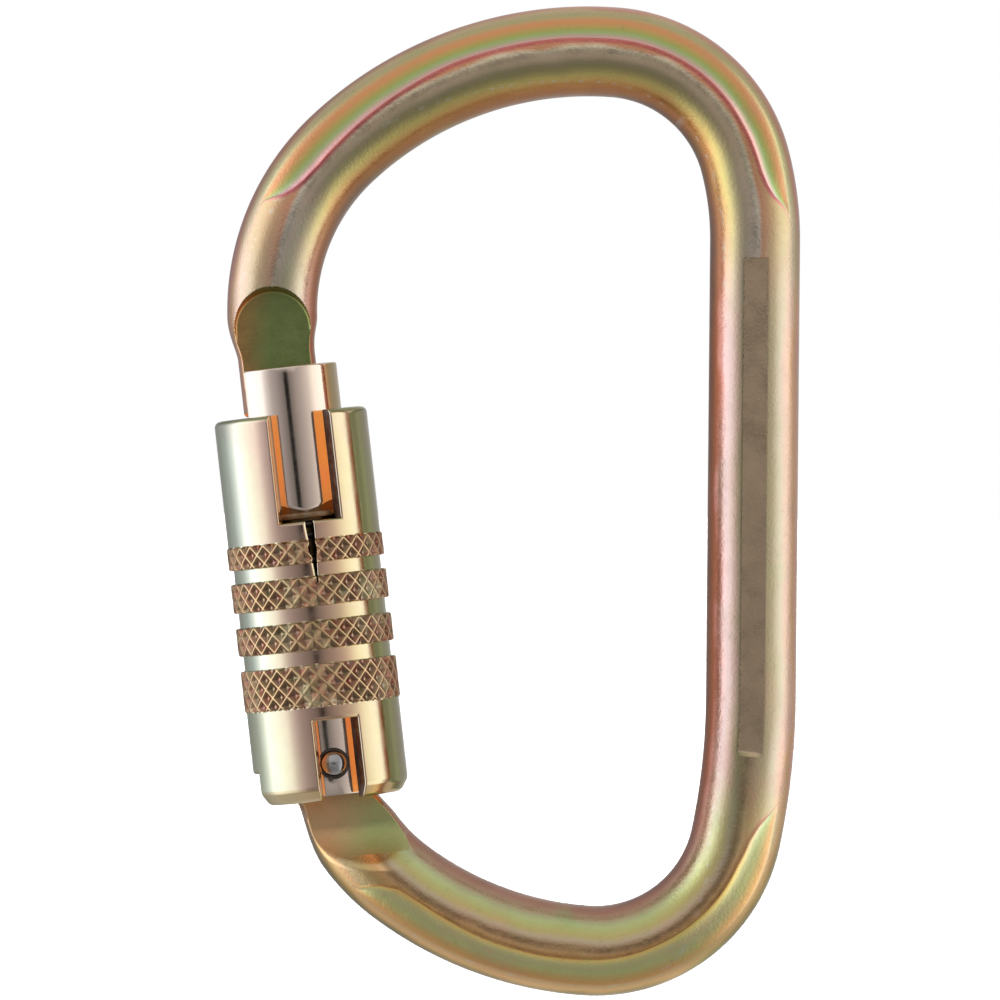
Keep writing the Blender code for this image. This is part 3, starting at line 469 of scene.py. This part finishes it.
def finish_half(off, yy):
    X = P[:, 0][:, None] + Nn[:, 0][:, None] * off
    Z = P[:, 1][:, None] + Nn[:, 1][:, None] * off
    d = np.stack([X - GATE_X, Z - GATE_Z], -1)
    v = d @ np.array([cos(tilt), sin(tilt)])
    u = d @ np.array([-sin(tilt), cos(tilt)])
    # below the nose only its outer edge runs on, outside the gate's mouth
    over = ((st > S_END - 1)[:, None] & (u < NOSE_BOTTOM)) * np.maximum(v + MOUTH_FLAT + 0.04, 0)
    X, Z, v = X - over * cos(tilt), Z - over * sin(tilt), v - over
    kind = np.zeros(X.shape, int)
    y = yy.copy()
    # nose flats, milled with a round-ended cutter
    nose = (st > S_END - 14)[:, None] & (v < 12)
    hw = 4.95 + 0.6 * (58.3 - u) / 7.7
    d1 = np.where(u >= 58.3, np.hypot(v + 0.95, u - 58.3) - 4.95, np.abs(v + 0.95) - hw)
    ee = np.maximum(d1 + 0.32, 0)
    r = 0.42
    wall = np.where(ee < r, r - np.sqrt(np.maximum(r * r - np.minimum(ee, r) ** 2, 0)), r + (ee - r) * 7.0)
    lim = np.where(u < KEY_TOP, KEY_HALF, TONGUE_HALF + wall)
    hit = nose & (y > lim)
    y = np.where(nose, smin(y, lim, np.where(u < KEY_TOP, 0.02, 0.22)), y)
    kind[hit] = 1
    # hinge flats, with a long scooped run-out square to the gate
    hinge = (st < 26)[:, None] & (v < 14)
    q = np.clip(-8.3 - u, 0, 7.5)
    lim = np.where(u > -15.6, TONGUE_HALF + q * q / 10.0, 99)
    hit = hinge & (y > lim)
    y = np.where(hinge, smin(y, lim, 0.24 + 0.75 * np.clip((-9.6 - u) / 3.4, 0, 1)), y)
    kind[hit & (u > -12.7)] = 2
    # the flat on the spine
    pad = ((st > S_SPINE0 - 12) & (st < S_SPINE1 + 2))[:, None] & (Z > PAD_BOTTOM) & (Z < PAD_TOP)
    hit = pad & (y > BAR_R - PAD_DEPTH)
    y = np.where(hit, BAR_R - PAD_DEPTH, y)
    kind[hit] = 3
    return X, Z, y, kind


X, Z, y, kind = finish_half(off, yy)
# front half then back half mirrored: columns run outer -> front -> inner -> back -> outer
inner_col = (P - Nn * rad[:, None])
low_end = (st > S_END - 1) & (local(P)[1] < NOSE_BOTTOM)
shift = np.maximum(local(inner_col)[0] + MOUTH_FLAT + 0.04, 0) * low_end
inner_col = inner_col - shift[:, None] * np.array([cos(tilt), sin(tilt)])
front = np.stack([X, -y, Z], -1)
back = np.stack([X, y, Z], -1)[:, 1:][:, ::-1]
mid = np.stack([inner_col[:, 0], np.zeros(ns), inner_col[:, 1]], -1)[:, None]
grid = np.concatenate([front, mid, back], 1)
kinds = np.concatenate([kind, np.zeros((ns, 1), int), kind[:, 1:][:, ::-1]], 1)
nc = grid.shape[1]
verts = grid.reshape(-1, 3)
ii, jj = np.meshgrid(np.arange(ns - 1), np.arange(nc), indexing="ij")
jn = (jj + 1) % nc
faces = np.stack([ii * nc + jj, ii * nc + jn, (ii + 1) * nc + jn, (ii + 1) * nc + jj], -1).reshape(-1, 4)
kk = np.minimum.reduce([kinds[ii, jj], kinds[ii, jn], kinds[ii + 1, jn], kinds[ii + 1, jj]]).reshape(-1)
allv = verts.tolist()
faces = faces.tolist()
kk = kk.tolist()
for row in (0, ns - 1):
    allv.append(verts[row * nc:(row + 1) * nc].mean(0).tolist())
    c = len(allv) - 1
    for j in range(nc):
        faces.append([row * nc + j, row * nc + (j + 1) % nc, c])
        kk.append(0)
# cam-ended tongue between the gate's fork
cam = []
for i in range(25):
    a = radians(180 - 90 * i / 24)
    cam.append((PIVOT_V + CAM_R * cos(a), CAM_R * sin(a)))
for i in range(20):
    a = radians(90 - 32 * i / 19)
    p = CAM_R + CAM_K * (pi / 2 - a)
    cam.append((PIVOT_V + p * cos(a) + CAM_K * sin(a), p * sin(a) - CAM_K * cos(a)))
cam += [(4.7, 0.5), (4.6, -3.0), (5.2, -5.6), (2.0, -8.5), (-3.6, -7.2), (-5.05, -4.2), (-4.6, -1.6)]
base = len(allv)
half = TONGUE_HALF - 0.03
for yv in (-half, half):
    allv += gate_pts(np.array([c[0] for c in cam]), np.full(len(cam), yv), np.array([c[1] for c in cam])).tolist()
nt = len(cam)
faces.append(list(range(base, base + nt)))
faces.append(list(range(base + nt, base + 2 * nt)))
kk += [0, 0]
for i in range(nt):
    faces.append([base + i, base + (i + 1) % nt, base + nt + (i + 1) % nt, base + nt + i])
    kk.append(0)
frame_o = outward(link("plated_frame", allv, faces, (m_frame, m_nose_flat, m_hinge_flat, m_pad), kk))
extra = len(allv) - ns * nc
acr = np.concatenate([np.sin(np.radians(phi)), np.full((ns, 1), -1.0), np.sin(np.radians(phi))[:, 1:][:, ::-1]], 1)
dugv = np.where(inside, t, np.where(phi < phi0[:, None], 1.0, 0.0))
dugv = np.concatenate([dugv, np.ones((ns, 1)), dugv[:, 1:][:, ::-1]], 1)
fade = np.clip(depth / 0.30, 0, 1)[:, None] * np.where(phi > phi1[:, None], np.clip(1 - (phi - phi1[:, None]) / 14.0, 0, 1), np.clip(1.25 - (phi0[:, None] - phi) / 5.0, 0, 1))
fade = np.concatenate([fade, np.zeros((ns, 1)), fade[:, 1:][:, ::-1]], 1)
mark(frame_o, "across", np.concatenate([acr.reshape(-1), np.zeros(extra)]))
mark(frame_o, "dug", np.concatenate([dugv.reshape(-1), np.zeros(extra)]))
mark(frame_o, "grooved", np.concatenate([fade.reshape(-1), np.zeros(extra)]))
frame_o.data.set_sharp_from_angle(angle=radians(42))
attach(frame_o, "frame")
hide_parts("frame")


# ---------------------------------------------------------------- sleeve
NA = 640
ang = np.linspace(-180, 180, NA, endpoint=False)


def snap(values, marks):
    """Moves the nearest grid lines onto the marks."""
    values = values.copy()
    for mk in marks:
        values[np.argmin(np.abs(values - mk))] = mk
    return values


SLIT_L, SLIT_R = -3.3, -9.4
ang = snap(ang, (SLOT_FROM, SLOT_TO, SLIT_L, SLIT_R, WINDOW_FROM, WINDOW_TO, RELIEF_FROM, RELIEF_TO - 360))
us = []
zones = [(SLEEVE_BOTTOM, SLEEVE_BOTTOM + 2.6, 0.13), (SLEEVE_BOTTOM + 2.6, 7.5, 0.22)]
for b in reversed(BANDS):
    zones.append((b[1] - 0.24, b[0] + 0.24, 0.118))
    zones.append((b[0] + 0.24, None, 0.2))
zones[-1] = (zones[-1][0], 44.9, 0.25)
zones.append((44.9, SLEEVE_TOP, 0.1))
for i, z in enumerate(zones):
    if z[1] is None:
        zones[i] = (z[0], zones[i + 1][0], z[2])
for a, b, d in zones:
    us += list(np.linspace(a, b, max(2, int(round((b - a) / d))), endpoint=False))
us = np.array(us + [SLEEVE_TOP])
us = snap(us, (SLOT_BOTTOM, SLIT_BOTTOM, WINDOW_TOP, RELIEF_TOP))
NU = len(us)
A, U = np.meshgrid(ang, us, indexing="ij")
# the slit narrows to a point: its two edges lean together towards the bottom
left = np.interp(us, (SLIT_BOTTOM, 27.4, 31.5, 60), (-7.4, -5.6, SLIT_L, SLIT_L))
right = np.interp(us, (SLIT_BOTTOM, 27.4, 31.5, 60), (-8.0, -9.2, SLIT_R, SLIT_R))
left = np.where(us < SLIT_BOTTOM, np.interp(us, (15, SLIT_BOTTOM), (SLIT_L, -7.4)), left)
right = np.where(us < SLIT_BOTTOM, np.interp(us, (15, SLIT_BOTTOM), (SLIT_R, -8.0)), right)
for j in range(NU):
    A[:, j] = np.interp(ang, (-181, -26, SLIT_R, SLIT_L, 14, 181), (-181, -26, right[j], left[j], 14, 181))

Ro = np.full(A.shape, SLEEVE_R)
PX = 360.0 / 29                      # one diamond round the sleeve, in degrees
PZ = 2.38
p = A / PX + U / PZ
q = A / PX - U / PZ
dp = np.abs(p - np.round(p))
dq = np.abs(q - np.round(q))
raw = np.clip(np.minimum(dp, dq) * 2, 0, 1)
pit = np.clip(raw - 0.05, 0, 0.80)
pit = pit - 0.25 * np.clip(raw - 0.62, 0, 1)
knurled = np.zeros(A.shape, bool)
for i, (hi, lw) in enumerate(BANDS):
    over = SLEEVE_R if i == 0 else LAND_R
    under = SLEEVE_R if i == len(BANDS) - 1 else LAND_R
    band = (U <= hi) & (U >= lw)
    lower = BANDS[i + 1][0] if i + 1 < len(BANDS) else None
    if lower is not None:
        Ro = np.where((U < lw) & (U > lower), LAND_R, Ro)
    rim = np.clip(np.minimum(hi - U, U - lw) / 0.30, 0, 1)
    crown = KNURL_R - (1 - np.sqrt(np.clip(1 - (1 - rim) ** 2, 0, 1))) * 0.45
    Ro = np.where(band, crown - 0.62 * pit, Ro)
    knurled |= band
# rounded top edge and the broad chamfer at the bottom
topr = 0.85
dd = np.clip(U - (SLEEVE_TOP - topr), 0, topr)
Ro = Ro - (topr - np.sqrt(np.maximum(topr ** 2 - dd ** 2, 0)))
bd = np.clip((SLEEVE_BOTTOM + 1.95) - U, 0, 1.95)
Ro = Ro - np.where(bd < 0.5, 0.28 * bd, 0.14 + (bd - 0.5) * 0.66) - np.where(bd > 1.5, (bd - 1.5) ** 2 * 1.7, 0)
# eased edges round every opening
def near_open(a0, a1, u0, u1, out):
    da = np.maximum(np.maximum(a0 - A, A - a1), 0) * radians(1) * SLEEVE_R
    du = np.maximum(np.maximum(u0 - U, U - u1), 0)
    return np.minimum(out, np.hypot(da, du))


dist = np.full(A.shape, 9.0)
dist = near_open(SLOT_FROM, SLOT_TO, SLOT_BOTTOM, 99, dist)
dist = near_open(WINDOW_FROM, WINDOW_TO, -99, WINDOW_TOP, dist)
da = np.maximum(np.maximum(right[None] - A, A - left[None]), 0) * radians(1) * SLEEVE_R
du = np.maximum(SLIT_BOTTOM - U, 0)
slit_d = np.hypot(da, du)
dist = np.minimum(dist, np.where(U < 45, slit_d, 9))
AR = np.where(A < RELIEF_FROM - 120, A + 360, A)
da = np.maximum(np.maximum(RELIEF_FROM - AR, AR - RELIEF_TO), 0) * radians(1) * SLEEVE_R
du = np.maximum(U - RELIEF_TOP, 0)
dist = np.minimum(dist, np.hypot(da, du))
be = 0.2
Ro = Ro - np.where(dist < be, be - np.sqrt(np.maximum(be ** 2 - (be - dist) ** 2, 0)), 0) * 0.9
# the slit's left edge is eased more than the rest
Ro = Ro - np.where((A > left[None]) & (A < left[None] + 4) & (U < SLOT_BOTTOM) & (U > SLIT_BOTTOM), np.clip(1 - (A - left[None]) / 1.6, 0, 1) ** 1.5 * 0.16, 0)

Ri = np.where(U <= LIP_TOP, SLEEVE_LIP_BORE, SLEEVE_BORE)
cell_a = (ang + np.roll(ang, -1)) / 2
cell_a[-1] = (ang[-1] + 180) / 2
cell_u = (us[:-1] + us[1:]) / 2
CA, CU = np.meshgrid(cell_a, cell_u, indexing="ij")
CR = np.where(CA < RELIEF_FROM, CA + 360, CA)
gone = (CA > SLOT_FROM) & (CA < SLOT_TO) & (CU > SLOT_BOTTOM)
gone |= (CA > SLIT_R) & (CA < SLIT_L) & (CU > SLIT_BOTTOM)
gone |= (CA > WINDOW_FROM) & (CA < WINDOW_TO) & (CU < WINDOW_TOP)
gone |= (CR > RELIEF_FROM) & (CR < RELIEF_TO) & (CU < RELIEF_TOP)


def round_gate(A, R, U):
    a = np.radians(A)
    return gate_pts(-R * np.sin(a), -R * np.cos(a), U)


Vo = round_gate(A, Ro, U).reshape(-1, 3)
Vi = round_gate(A, Ri, U).reshape(-1, 3)
NV = len(Vo)
ia, iu = np.nonzero(~gone)
an = (ia + 1) % NA
outer = np.stack([ia * NU + iu, an * NU + iu, an * NU + iu + 1, ia * NU + iu + 1], 1)
inner = outer[:, ::-1] + NV
kc = knurled.reshape(-1)
okn = kc[outer].all(1)
faces = [outer, inner]
# between the slot and the window the bore takes the near-black finish: painted shade
index = [np.where(okn, 1, 0), np.where((cell_u[iu] > 9.0) & (cell_u[iu] < SLOT_BOTTOM + 0.6), 3, 2)]
walls, wall_m = [], []


def wall(a, b, m):
    walls.append([a, b, b + NV, a + NV])
    wall_m.append(m)


present = ~gone
for i in range(NA):
    nx = (i + 1) % NA
    row, nxt = present[i], present[nx]
    for j in np.nonzero(row != nxt)[0]:
        in_slit = us[j] < SLOT_BOTTOM and SLIT_R - 0.3 < ang[nx] < SLIT_L + 0.3 and us[j] > SLIT_BOTTOM - 0.1
        # the slit's walls and the right-hand walls of the slot and window get near-black painted shadow
        wall(nx * NU + j, nx * NU + j + 1, 3 if in_slit else 5 if SLOT_FROM - 0.3 < ang[nx] < WINDOW_FROM + 0.3 else 4)
    r = present[i]
    for j in np.nonzero(r[1:] != r[:-1])[0]:
        wall(i * NU + j + 1, nx * NU + j + 1, 4)
    if r[0]:
        wall(i * NU, nx * NU, 0)
    if r[-1]:
        wall(i * NU + NU - 1, nx * NU + NU - 1, 0)
faces = np.concatenate(faces + [np.array(walls)])
index = np.concatenate(index + [np.array(wall_m)])
V = np.concatenate([Vo, Vi])
used = np.zeros(len(V), bool)
used[faces.reshape(-1)] = True
remap = np.cumsum(used) - 1
sleeve_o = link("knurled_sleeve", V[used], remap[faces].tolist(), (m_sleeve, m_knurl, m_inner, m_slit, m_wall, m_edge), index)
outward(sleeve_o)
rawp = np.where(knurled, raw, 0).reshape(-1)
mark(sleeve_o, "pit", np.concatenate([rawp, np.zeros(NV)])[used])
sleeve_o.data.set_sharp_from_angle(angle=radians(50))
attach(sleeve_o, "sleeve")
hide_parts("locking_sleeve")

# ---------------------------------------------------------------- gate tube
tools = []


def lathe(name, profile, sides, mats, v=0.0, axis="u", close=True):
    """A closed (radius, height) outline turned about the gate's axis, or about the hinge pin with axis y."""
    n = len(profile)
    vs, idx = [], []
    for r, h in profile:
        if r < 1e-6:
            idx.append([len(vs)])
            vs.append((0, 0, h))
        else:
            idx.append(list(range(len(vs), len(vs) + sides)))
            for k in range(sides):
                a = 2 * pi * k / sides
                vs.append((r * cos(a), r * sin(a), h))
    fs = []
    for i in range(n):
        A_, B_ = idx[i], idx[(i + 1) % n]
        if len(A_) == 1 and len(B_) == 1:
            continue
        for k in range(sides):
            k2 = (k + 1) % sides
            if len(A_) == 1:
                fs.append([A_[0], B_[k2], B_[k]])
            elif len(B_) == 1:
                fs.append([A_[k], A_[k2], B_[0]])
            else:
                fs.append([A_[k], A_[k2], B_[k2], B_[k]])
    w = np.array(vs)
    if axis == "u":
        pts = gate_pts(w[:, 0] + v, w[:, 1], w[:, 2])
    else:
        pts = gate_pts(w[:, 0] + v, w[:, 2], w[:, 1])
    return outward(link(name, pts, fs, mats))


def cutter_box(v, y, u):
    vs = [(a, b, c) for a in v for b in y for c in u]
    w = np.array(vs, float)
    fs = [[0, 1, 3, 2], [4, 6, 7, 5], [0, 4, 5, 1], [2, 3, 7, 6], [0, 2, 6, 4], [1, 5, 7, 3]]
    o = outward(link("tool_%d" % len(tools), gate_pts(w[:, 0], w[:, 1], w[:, 2]), fs, ()))
    tools.append(o)
    return o


def cutter_rod(r, a, b, sides=64):
    ax = np.array(b, float) - np.array(a, float)
    if abs(ax[1]) > 0:
        o = lathe("tool_%d" % len(tools), [(0, a[1]), (r, a[1]), (r, b[1]), (0, b[1])], sides, (), v=a[0], axis="y")
    else:
        o = lathe("tool_%d" % len(tools), [(0, a[2]), (r, a[2]), (r, b[2]), (0, b[2])], sides, (), v=a[0])
    tools.append(o)
    return o


def carve(target, cutters, solver="MANIFOLD"):
    for c in cutters:
        m = target.modifiers.new("cut", "BOOLEAN")
        m.operation, m.object, m.solver = "DIFFERENCE", c, solver
    bpy.context.view_layer.update()
    ev = target.evaluated_get(bpy.context.evaluated_depsgraph_get())
    me = bpy.data.meshes.new_from_object(ev)
    target.modifiers.clear()
    old = target.data
    target.data = me
    bpy.data.meshes.remove(old)
    for c in cutters:
        bpy.data.objects.remove(c)


prof = []
for i in range(7):
    a = radians(90 - 90 * i / 6)
    prof.append((TUBE_R - 0.28 + 0.28 * cos(a), TUBE_TOP - 0.28 + 0.28 * sin(a)))
for u in np.linspace(52, 37, 16):
    prof.append((TUBE_R, u))
prof += [(TUBE_R, 36.0), (TUBE_R, 35.0), (TUBE_R, 34.2), (TUBE_R, COLLAR_BOTTOM + 0.16), (TUBE_R - 0.05, COLLAR_BOTTOM + 0.05), (TUBE_R - 0.16, COLLAR_BOTTOM)]
prof += [(NECK_R, COLLAR_BOTTOM), (NECK_R, LAND_TOP), (TUBE_R - 0.12, LAND_TOP), (TUBE_R, LAND_TOP - 0.12), (TUBE_R, 4.0), (TUBE_R, 0.0), (TUBE_R, TUBE_BOTTOM + 0.35)]
prof += [(TUBE_R - 0.1, TUBE_BOTTOM + 0.1), (TUBE_R - 0.35, TUBE_BOTTOM), (0.0, TUBE_BOTTOM), (0.0, TUBE_TOP)]
tube_o = lathe("polished_gate_tube", prof, 192, (m_tube,))
# the collar's lower edge dips towards the slit
co = np.array([v.co for v in tube_o.data.vertices]) / MM - OO
tv, ty, tu = co @ VV, co[:, 1], co @ UU
ta = np.degrees(np.arctan2(-tv, -ty))
rise = 1.25 * np.clip(np.abs(ta + 7.3) / 30.0, 0, 1) - 0.15
w = np.clip((37.0 - tu) / 3.4, 0, 1) * (tu > COLLAR_BOTTOM - 0.01)
tu2 = tu + rise * w * (np.abs(ta) < 60) + np.where(np.abs(ta) >= 60, 0.85 * w, 0)
pts = gate_pts(tv, ty, tu2) * MM
tube_o.data.vertices.foreach_set("co", pts.reshape(-1))
tube_o.data.update()
carve(tube_o, [
    cutter_box((-9, 9), (-FORK_HALF, FORK_HALF), (-6, FORK_TOP)),
    cutter_rod(SPRING_BORE_R, (PIVOT_V, 0, 4), (PIVOT_V, 0, SPRING_BORE_TOP)),
    cutter_box((-9, 4.75), (-FORK_HALF, FORK_HALF), (SHOULDER - 0.5, 55)),
    cutter_box((-9, 4.75), (-KEY_HALF - 0.2, KEY_HALF + 0.2), (SLOT_FLOOR, SHOULDER)),
    cutter_box((-9, -MOUTH_FLAT), (-9, 9), (SLOT_FLOOR - 0.9, 55)),
    cutter_rod(RIVET_R + 0.05, (PIVOT_V, -10, 0), (PIVOT_V, 10, 0)),
    cutter_rod(2.1, (PIVOT_V, -10, 0), (PIVOT_V, -HEAD_SEAT, 0)),
    cutter_rod(2.1, (PIVOT_V, HEAD_SEAT, 0), (PIVOT_V, 10, 0)),
])
tube_o.data.materials.clear()
tube_o.data.materials.append(m_tube)
tube_o.data.materials.append(m_neck)
# the neck below the collar takes the dark painted-shade finish
cen = np.array([p_.center for p_ in tube_o.data.polygons]) / MM - OO
cr_, cu_ = np.hypot(cen @ VV, cen[:, 1]), cen @ UU
tube_o.data.polygons.foreach_set("material_index", ((cr_ < NECK_R + 0.1) & (cu_ > LAND_TOP - 0.1) & (cu_ < 35.5)).astype(np.int32))
tube_o.data.polygons.foreach_set("use_smooth", [True] * len(tube_o.data.polygons))
tube_o.data.set_sharp_from_angle(angle=radians(32))
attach(tube_o, "gate")
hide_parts("gate_tube")

# ---------------------------------------------------------------- hinge rivet
prof = [(0.0, -HEAD_TOP)]
for i in range(1, 15):
    a = radians(90 * i / 14)
    prof.append((HEAD_R * sin(a), -HEAD_TOP + 1.25 * (1 - cos(a))))
prof += [(HEAD_R, -HEAD_SEAT - 0.12), (RIVET_R - 0.05, -HEAD_SEAT - 0.1)]
prof += [(RIVET_R - 0.05, -2.0)]
full = prof + [(r, -h) for r, h in reversed(prof)]
rivet_o = lathe("domed_hinge_rivet", full, 72, (m_rivet,), v=PIVOT_V, axis="y")
rivet_o.data.set_sharp_from_angle(angle=radians(50))
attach(rivet_o, "gate")
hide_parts("hinge_rivet")


# ---------------------------------------------------------------- springs
def coil(name, v, mean, wire, u0, u1, turns, per_turn=40, ring=12, finish=m_steel):
    n = int(turns * per_turn)
    lo_, hi_ = u0 + wire / 2, u1 - wire / 2
    pitch = wire * 1.06
    t_ = np.linspace(0, turns, n + 1)
    h = np.where(t_ < 1, pitch * t_, np.where(t_ > turns - 1, (hi_ - lo_) - pitch * (turns - t_), pitch + ((hi_ - lo_) - 2 * pitch) * (t_ - 1) / (turns - 2)))
    a_ = 2 * pi * t_
    pts, fs = [], []
    for k in range(n + 1):
        radial = np.array([cos(a_[k]), sin(a_[k])])
        c_ = (v + mean * radial[0], mean * radial[1], lo_ + h[k])
        for m_ in range(ring):
            b_ = 2 * pi * m_ / ring
            rr_ = wire / 2 * cos(b_)
            pts.append((c_[0] + radial[0] * rr_, c_[1] + radial[1] * rr_, c_[2] + wire / 2 * sin(b_)))
    for k in range(n):
        for m_ in range(ring):
            m2 = (m_ + 1) % ring
            fs.append([k * ring + m_, k * ring + m2, (k + 1) * ring + m2, (k + 1) * ring + m_])
    fs.append(list(range(ring)))
    fs.append(list(range(n * ring, (n + 1) * ring)))
    w_ = np.array(pts)
    return outward(link(name, gate_pts(w_[:, 0], w_[:, 1], w_[:, 2]), fs, (finish,)))


PL = CAM_R + 0.12
gs = coil("gate_return_spring", PIVOT_V, 1.95, 0.7, PL + 3.3, SPRING_BORE_TOP - 0.1, 13)
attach(gs, "gate")
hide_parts("gate_spring")
tuple(gate_pts(np.array(PIVOT_V), np.array(0.0), np.array(SPRING_BORE_TOP - 0.1)) * MM)
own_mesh(gs)
ss = coil("sleeve_return_spring", 0.0, 7.15, 0.9, 9.7, 32.6, 8, per_turn=64, ring=14, finish=m_wire)
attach(ss, "gate")
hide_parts("sleeve_spring")
tuple(gate_pts(np.array(0.0), np.array(0.0), np.array(32.6)) * MM)
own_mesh(ss)

# ---------------------------------------------------------------- the CAD pieces that stay get their own finish
def ring_piece(name, r0, r1, u0, u1, body, node, m):
    c_ = 0.10
    o_ = lathe(name, [(r1 - c_, u1), (r1, u1 - c_), (r1, u0 + c_), (r1 - c_, u0), (r0, u0), (r0, u1)], 144, (m,))
    o_.data.set_sharp_from_angle(angle=radians(50))
    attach(o_, body)
    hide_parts(node)


ring_piece("turned_spring_seat", NECK_R + 0.15, 8.1, LAND_TOP + 0.25, 9.6, "spring_seat", "spring_seat_ring", m_ring)
# the stop washer takes the dark painted-shade finish of the neck
ring_piece("turned_stop_washer", NECK_R + 0.06, 8.05, COLLAR_BOTTOM - 0.9, COLLAR_BOTTOM - 0.08, "gate", "spring_stop_washer", m_neck)
for node, m in (("gate_plunger", m_plunger),):
    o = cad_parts[node]
    for s_ in o.material_slots:
        s_.material = m

# ---------------------------------------------------------------- floor
fl = bpy.data.materials.new("studio_floor")
fl.use_nodes = True
t = Net(fl.node_tree)
b = fl.node_tree.nodes["Principled BSDF"]
tc = t.n("ShaderNodeTexCoord")
t.put(b.inputs["Base Color"], t.mix(t.noise(tc.outputs["Object"], 3.0, 3.0), (0.93, 0.93, 0.93), (0.96, 0.96, 0.955)))
t.put(b.inputs["Roughness"], t.span(t.noise(tc.outputs["Object"], 12.0, 3.0), 0.3, 0.7, 0.75, 0.9))
b.inputs["Specular IOR Level"].default_value = 0.1
me = bpy.data.meshes.new("floor")
size, zf = 40.0, -0.1275
me.from_pydata([(-size, -size, zf), (size, -size, zf), (size, size, zf), (-size, size, zf)], [], [(0, 1, 2, 3)])
me.materials.append(fl)
floor = bpy.data.objects.new("floor", me)
bpy.context.scene.collection.objects.link(floor)
floor.visible_glossy = False

# ---------------------------------------------------------------- light: a white studio with a tall soft panel on either side
world = bpy.data.worlds.new("studio")
bpy.context.scene.world = world
world.use_nodes = True
t = Net(world.node_tree)
bg = world.node_tree.nodes["Background"]
tc = t.n("ShaderNodeTexCoord")
sep = t.n("ShaderNodeSeparateXYZ")
t.put(sep.inputs[0], tc.outputs["Generated"])
dx, dy, dz = sep.outputs
az = t.math("DIVIDE", t.math("ABSOLUTE", t.math("ARCTAN2", dx, t.math("MULTIPLY", dy, -1.0))), pi)


def deg_ramp(stops):
    return t.ramp(az, [(d / 180.0, (r, g, b_)) for d, r, g, b_ in stops])


right_l = deg_ramp(((0, 0.02, 0.02, 0.02), (3.2, 0.02, 0.02, 0.02), (6, 0.20, 0.19, 0.18), (18, 0.36, 0.34, 0.33), (34, 0.54, 0.52, 0.51), (48, 0.74, 0.72, 0.70), (62, 1.15, 1.14, 1.12),
                    (76, 1.30, 1.29, 1.27), (92, 1.32, 1.30, 1.26), (98, 1.28, 1.25, 1.20), (105, 0.80, 0.78, 0.74), (112, 0.52, 0.51, 0.49), (130, 0.46, 0.45, 0.43), (150, 0.50, 0.49, 0.47), (180, 0.70, 0.69, 0.68)))
left_l = deg_ramp(((0, 0.02, 0.02, 0.02), (3.2, 0.02, 0.02, 0.02), (6, 0.20, 0.19, 0.18), (18, 0.33, 0.31, 0.31), (36, 0.52, 0.49, 0.48), (48, 0.84, 0.82, 0.80), (58, 1.35, 1.34, 1.33),
                   (96, 1.55, 1.55, 1.55), (108, 0.86, 0.88, 0.87), (122, 0.46, 0.47, 0.46), (150, 0.32, 0.32, 0.31), (165, 0.35, 0.35, 0.35), (180, 0.62, 0.62, 0.62)))
panels = t.mix(t.span(dx, -0.02, 0.02), left_l, right_l)
up = t.math("ABSOLUTE", dz)
back_ness = t.span(dy, -1, 1, 0, 1, False)
above = t.ramp(back_ness, ((0.0, (0.52, 0.50, 0.48)), (0.035, (0.62, 0.60, 0.58)), (0.15, (0.64, 0.62, 0.60)), (0.40, (0.56, 0.55, 0.53)), (0.7, (0.52, 0.51, 0.49)), (1.0, (0.60, 0.59, 0.58))))
below = t.ramp(back_ness, ((0.0, (0.42, 0.41, 0.40)), (0.03, (0.34, 0.33, 0.32)), (0.08, (0.27, 0.26, 0.25)), (0.20, (0.32, 0.31, 0.30)), (0.38, (0.46, 0.45, 0.43)), (0.7, (0.50, 0.49, 0.47)), (1.0, (0.60, 0.59, 0.58))))
plain = t.mix(t.span(dz, -0.12, 0.16), below, above)
ahead = t.span(az, 0.10, 0.24, 1.0, 0.0)
low = t.math("MULTIPLY_ADD", ahead, -0.37, 0.42)
high = t.math("MULTIPLY_ADD", ahead, -0.63, 0.80)
colour = t.mix(t.span(up, low, high), panels, plain)
lp = t.n("ShaderNodeLightPath")
front_fill = t.mix(t.span(dy, -0.75, -0.45), (6.0, 6.0, 6.0), (0.6, 0.6, 0.6))
soft_fill = t.mix(lp.outputs["Is Diffuse Ray"], colour, front_fill)
t.put(bg.inputs["Color"], t.mix(lp.outputs["Is Camera Ray"], soft_fill, (1.0, 1.0, 1.0)))
bg.inputs["Strength"].default_value = 1.0

sun = bpy.data.lights.new("floor_fill", "SUN")
sun.energy = 1.2
sun.angle = radians(60)
so = bpy.data.objects.new("floor_fill", sun)
so.visible_glossy = False
bpy.context.scene.collection.objects.link(so)

# ---------------------------------------------------------------- camera: square on, from far enough away to look nearly flat
rho = radians(0.53)
cam_d = bpy.data.cameras.new("camera")
cam_o = bpy.data.objects.new("camera", cam_d)
bpy.context.scene.collection.objects.link(cam_o)
cam_d.sensor_width = 36.0
cam_d.lens = 36.0 * 1.2 / 0.13333
cam_d.clip_start, cam_d.clip_end = 0.05, 100.0
right_v, up_v, back_v = Vector((cos(rho), 0, sin(rho))), Vector((-sin(rho), 0, cos(rho))), Vector((0, -1, 0))
m4 = Matrix((right_v, up_v, back_v)).transposed().to_4x4()
m4.translation = Vector((-0.01139, -1.2, -0.05392))
cam_o.matrix_world = m4
bpy.context.scene.camera = cam_o
bpy.context.scene.view_settings.view_transform = "Standard"
bpy.context.scene.view_settings.look = "None"
